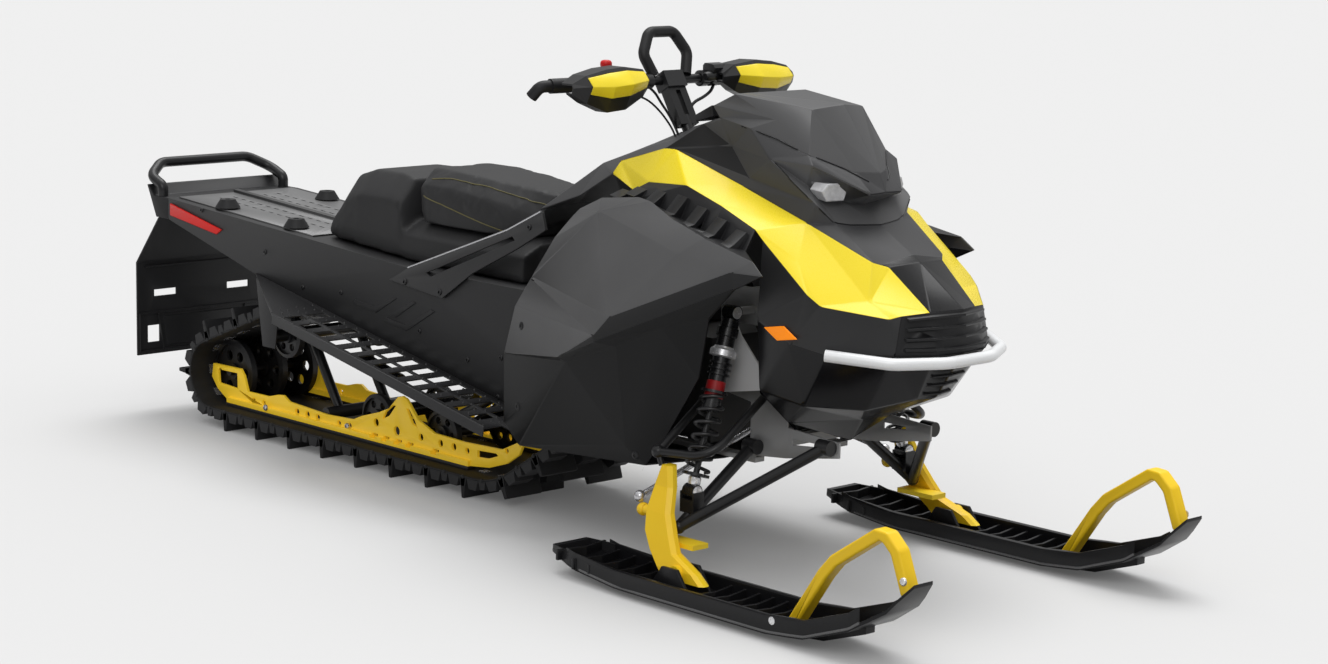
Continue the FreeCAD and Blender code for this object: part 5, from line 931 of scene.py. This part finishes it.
# The hood's joint lines, for the left side
SEAMS = {
    "shield_groove": ((0.726, 0.136, 0.989), (0.781, 0.135, 0.980), (0.828, 0.129, 0.969),
                      (0.885, 0.125, 0.952), (0.932, 0.108, 0.936), (0.974, 0.067, 0.914),
                      (1.000, 0.047, 0.897), (1.012, 0.030, 0.888)),
    "lid_seam": ((0.849, 0.154, 0.920), (0.895, 0.154, 0.890), (0.944, 0.151, 0.858),
                 (0.975, 0.143, 0.833), (0.987, 0.114, 0.804), (1.002, 0.076, 0.796),
                 (1.012, 0.040, 0.794), (1.022, 0.000, 0.793)),
}
SEAM_RADIUS = 0.0015
SEAM_RISE = 0.0005
SEAM_STEPS = 6


def seams():
    """Dark joint lines along the windshield's foot and round the lamps' lid."""
    trees = [surface("hood"), surface("windshield")]
    for name, row in SEAMS.items():
        for word, sign in SIDES:
            line = []
            for spot in along(row, SEAM_STEPS, 1):
                near, normal, _, _ = min(
                    (tree.find_nearest(side_of(spot, sign)) for tree in trees),
                    key=lambda found: found[3])
                line.append(near + normal * SEAM_RISE)
            rod_line(name + "_" + word, line, SEAM_RADIUS, "chassis", "black_plastic",
                     "gloss_plastic", False)


# Radius and run of each line between the bar and the column's foot
CABLES = {
    "brake_hose": (0.0038, ((0.345, 0.150, 1.050), (0.375, 0.118, 1.034),
                            (0.385, 0.082, 1.018), (0.380, 0.048, 1.005),
                            (0.386, 0.030, 0.985), (0.398, 0.026, 0.960),
                            (0.412, 0.024, 0.935), (0.424, 0.022, 0.905))),
    "throttle_cable": (0.0030, ((0.345, -0.130, 1.052), (0.372, -0.104, 1.056),
                                (0.384, -0.078, 1.036), (0.384, -0.058, 1.010),
                                (0.390, -0.040, 0.985), (0.400, -0.030, 0.960),
                                (0.412, -0.026, 0.935), (0.424, -0.024, 0.905))),
    "switch_lead": (0.0024, ((0.345, -0.150, 1.046), (0.366, -0.128, 1.030),
                             (0.382, -0.100, 1.020), (0.390, -0.070, 0.995),
                             (0.398, -0.046, 0.965), (0.408, -0.034, 0.938),
                             (0.420, -0.031, 0.908))),
}


def cables():
    """The hose, cable and lead that run from the bar down the column."""
    for name, (radius, points) in CABLES.items():
        rod_line(name, points, radius, "steering", "black_tube", "grip_rubber")


# A lamp's front and back outlines, for the left side
LAMP_FRONT = ((0.968, 0.130, 0.868), (0.972, 0.118, 0.885), (0.980, 0.078, 0.885),
              (0.984, 0.068, 0.868), (0.980, 0.074, 0.846), (0.970, 0.118, 0.846))
LAMP_BACK = ((0.930, 0.128, 0.870), (0.932, 0.116, 0.885), (0.936, 0.078, 0.885),
             (0.938, 0.070, 0.868), (0.936, 0.076, 0.848), (0.932, 0.114, 0.850))
LENS_EDGE = 0.004
LENS_RISE = 0.002
LENS_DEPTH = 0.006
LENS_RIM = 0.001


def lamps():
    """The clear lens in front of each lamp, with the reflector's facets behind it."""
    bm = bmesh.new()
    for _, sign in SIDES:
        block(bm, [[side_of(p, sign) for p in row] for row in (LAMP_BACK, LAMP_FRONT)])
    bmesh.ops.recalc_face_normals(bm, faces=bm.faces)
    for face in [f for f in bm.faces if len(f.verts) == 6 and f.normal.x > 0.5]:
        middle = face.calc_center_median()
        bmesh.ops.inset_region(bm, faces=[face], thickness=LENS_EDGE, depth=LENS_RISE)
        for vert in bmesh.ops.poke(bm, faces=[face])["verts"]:
            vert.co = middle - Vector((LENS_DEPTH, 0, 0))
    item = piece("lamp_glass", bm, "chassis", "lamp_lens", "lamp_lens")
    rim = item.modifiers.new("rim", "BEVEL")
    rim.width = LENS_RIM
    rim.segments = 2


SKI_MIDDLE = 0.440
# Along the tail: how far forward, the edge from the middle, the sole's and the wall's heights
TAIL_ROWS = ((0.5215, 0.0496, 0.0440, 0.020), (0.5827, 0.0637, 0.0280, 0.034),
             (0.6040, 0.0650, 0.0225, 0.0385))
TAIL_WALL = 0.0045
TAIL_FOOT = 0.004
TAIL_GRIP = 0.016
# The sole's line, along and up, and how the rims lie above and ahead of it, in the walls
SOLE = ((0.626, 0.0190), (0.750, 0.0100), (1.210, 0.0100), (1.314, 0.0203),
        (1.429, 0.0610), (1.500, 0.1100))
RIM_UP = 0.010
RIM_AHEAD = 0.004
RIM_RADIUS = 0.0030
RIM_SINK = 0.0012
RIM_STEPS = 6
RIM_OUT = 0.2
RIM_LEAST = 0.05


def ski_tails():
    """The side walls carried on round each ski's tail."""
    for word, sign in SIDES:
        bm = bmesh.new()
        middle = sign * SKI_MIDDLE
        for hand in (-1, 1):
            for ends in zip(TAIL_ROWS, TAIL_ROWS[1:]):
                block(bm, [[Vector((x, middle + hand * y, z + up))
                            for y, up in ((edge - TAIL_WALL, TAIL_FOOT), (edge, TAIL_FOOT),
                                          (edge, top), (edge - TAIL_WALL, top))]
                           for x, edge, z, top in ends])
        x, edge, z, top = TAIL_ROWS[0]
        block(bm, [[Vector((x + run, middle + y, z + up))
                    for y, up in ((-edge, TAIL_FOOT), (edge, TAIL_FOOT), (edge, top),
                                  (-edge, top))]
                   for run in (0.0, TAIL_GRIP)])
        piece("ski_tail_" + word, bm, "ski_set_" + word, "ski_plastic", "ski_plastic")


def ski_rims():
    """The rounded lower rim along each side of the skis, laid on the walls, in a paler grey that
    paints the highlight along it.
    """
    for word, sign in SIDES:
        tree = surface("ski_" + word)
        middle = sign * SKI_MIDDLE
        for hand, hand_word in ((-1, "low"), (1, "high")):
            line = []
            for x, z in along(SOLE, RIM_STEPS):
                hit, normal, _, _ = tree.ray_cast(
                    Vector((x + RIM_AHEAD, middle + hand * RIM_OUT, z + RIM_UP)),
                    Vector((0, -hand, 0)))
                if hit is not None and abs(hit.y - middle) > RIM_LEAST:
                    line.append(hit - normal * RIM_SINK)
            rod_line("ski_rim_%s_%s" % (word, hand_word), line, RIM_RADIUS,
                     "ski_set_" + word, "ski_plastic", "ski_rim_painted_highlight")


FLAP_FACE = -1.5592
FLAP_PANEL = ((-0.118, 0.176), (0.118, 0.176), (0.132, 0.262), (-0.132, 0.262))
PANEL_RISE = 0.0032
PANEL_TOP = 0.94
# Ribs on the flap: two ends across and up, and half the width
FLAP_RIBS = (
    ((-0.204, 0.274), (0.204, 0.274), 0.0040), ((-0.204, 0.166), (0.204, 0.166), 0.0035),
    ((-0.146, 0.270), (-0.130, 0.168), 0.0030), ((0.146, 0.270), (0.130, 0.168), 0.0030),
    ((-0.207, 0.274), (-0.207, 0.166), 0.0030), ((0.207, 0.274), (0.207, 0.166), 0.0030),
    ((-0.19, 0.405), (0.19, 0.405), 0.0030))
RIB_RISE = 0.0045
RIB_TOP = 0.6


def flap_ribs():
    """The raised panel and ribs moulded on the snow flap's front."""
    bm = bmesh.new()
    corners = [Vector((0, y, z)) for y, z in FLAP_PANEL]
    middle = sum(corners, Vector()) / len(corners)
    block(bm, [[middle.lerp(p, share) + Vector((x, 0, 0)) for p in corners]
               for x, share in ((FLAP_FACE, 1.0), (FLAP_FACE + PANEL_RISE, PANEL_TOP))])
    for (y1, z1), (y2, z2), half in FLAP_RIBS:
        start, end = Vector((0, y1, z1)), Vector((0, y2, z2))
        way = (end - start).normalized()
        across = Vector((0, -way.z, way.y)) * half
        block(bm, [[Vector((x, 0, 0)) + p + across * (sign * share)
                    for p, sign in ((start, -1), (end, -1), (end, 1), (start, 1))]
                   for x, share in ((FLAP_FACE, 1.0), (FLAP_FACE + RIB_RISE, RIB_TOP))])
    piece("flap_ribs", bm, "chassis", "rubber_sheet", "rubber_sheet")


# The bar's line, along and up, and the turned parts on it: place, way, profile and sides
BAR_X, BAR_Z = 0.351, 1.057
BAR_PARTS = (
    ((BAR_X, 0.092, BAR_Z), (0, 1, 0),
     ((0, 0.015), (0.003, 0.019), (0.020, 0.019), (0.023, 0.016), (0.030, 0.016),
      (0.033, 0.0195), (0.054, 0.0195), (0.057, 0.016)), 24),
    ((BAR_X + 0.026, 0.088, BAR_Z + 0.006), (0, 1, 0),
     ((0, 0.008), (0.004, 0.011), (0.052, 0.013), (0.066, 0.013), (0.070, 0.009)), 20),
    ((BAR_X, -0.060, BAR_Z), (0, -1, 0),
     ((0, 0.015), (0.003, 0.018), (0.026, 0.018), (0.030, 0.015)), 24),
)
RESERVOIR = ((0.000, 0.016), (0.036, 0.012), (0.040, 0.026), (0.034, 0.034), (0.006, 0.036),
             (0.000, 0.030))
RESERVOIR_Y = (0.106, 0.152)


def bar_blocks():
    """The brake's cylinder with its reservoir, and the switch block, clamped on the bar."""
    bm = bmesh.new()
    for row in BAR_PARTS:
        lathe(bm, *row)
    block(bm, [[Vector((BAR_X + a, y, BAR_Z + b)) for a, b in RESERVOIR]
               for y in RESERVOIR_Y])
    piece("bar_blocks", bm, "steering", "lever_plastic", "lever_plastic")


KILL_FOOT = (0.335, -0.185, 1.078)
KILL_CAP = ((0, 0.0085), (0.014, 0.0078), (0.0155, 0.0125), (0.019, 0.0138),
            (0.026, 0.0132), (0.0295, 0.0105), (0.031, 0.006))
KILL_SIDES = 28


def kill_cap():
    """The stop switch's red cap on its stem."""
    bm = bmesh.new()
    lathe(bm, KILL_FOOT, (0, 0, 1), KILL_CAP, KILL_SIDES)
    piece("kill_cap", bm, "steering", "red_plastic", "red_plastic")


CHEEK = ((0.763, 0.590), (0.793, 0.539), (0.867, 0.464), (0.882, 0.430), (0.739, 0.404),
         (0.712, 0.460), (0.735, 0.560))
CHEEK_Y = (0.186, 0.190)


def cheeks():
    """The grey plates that close the bulkhead's sides behind the dampers."""
    for word, sign in SIDES:
        bm = bmesh.new()
        block(bm, [[Vector((x, sign * y, z)) for x, z in CHEEK] for y in CHEEK_Y])
        piece("bulkhead_cheek_" + word, bm, "chassis", "grey_metal", "cheek_metal")


camera()
studio()
MATS = {name: finish(name, color, roughness, **more)
        for name, (color, roughness, more) in FINISHES.items()}
dress()
for row in COVERS:
    soften(*row)
SEATS = [cushion(*row) for row in CUSHIONS]
piping(SEATS[0])
fasteners()
tread()
board_teeth()
shock_trim()
strut_highlight_rods()
seams()
cables()
lamps()
ski_tails()
ski_rims()
flap_ribs()
bar_blocks()
kill_cap()
cheeks()
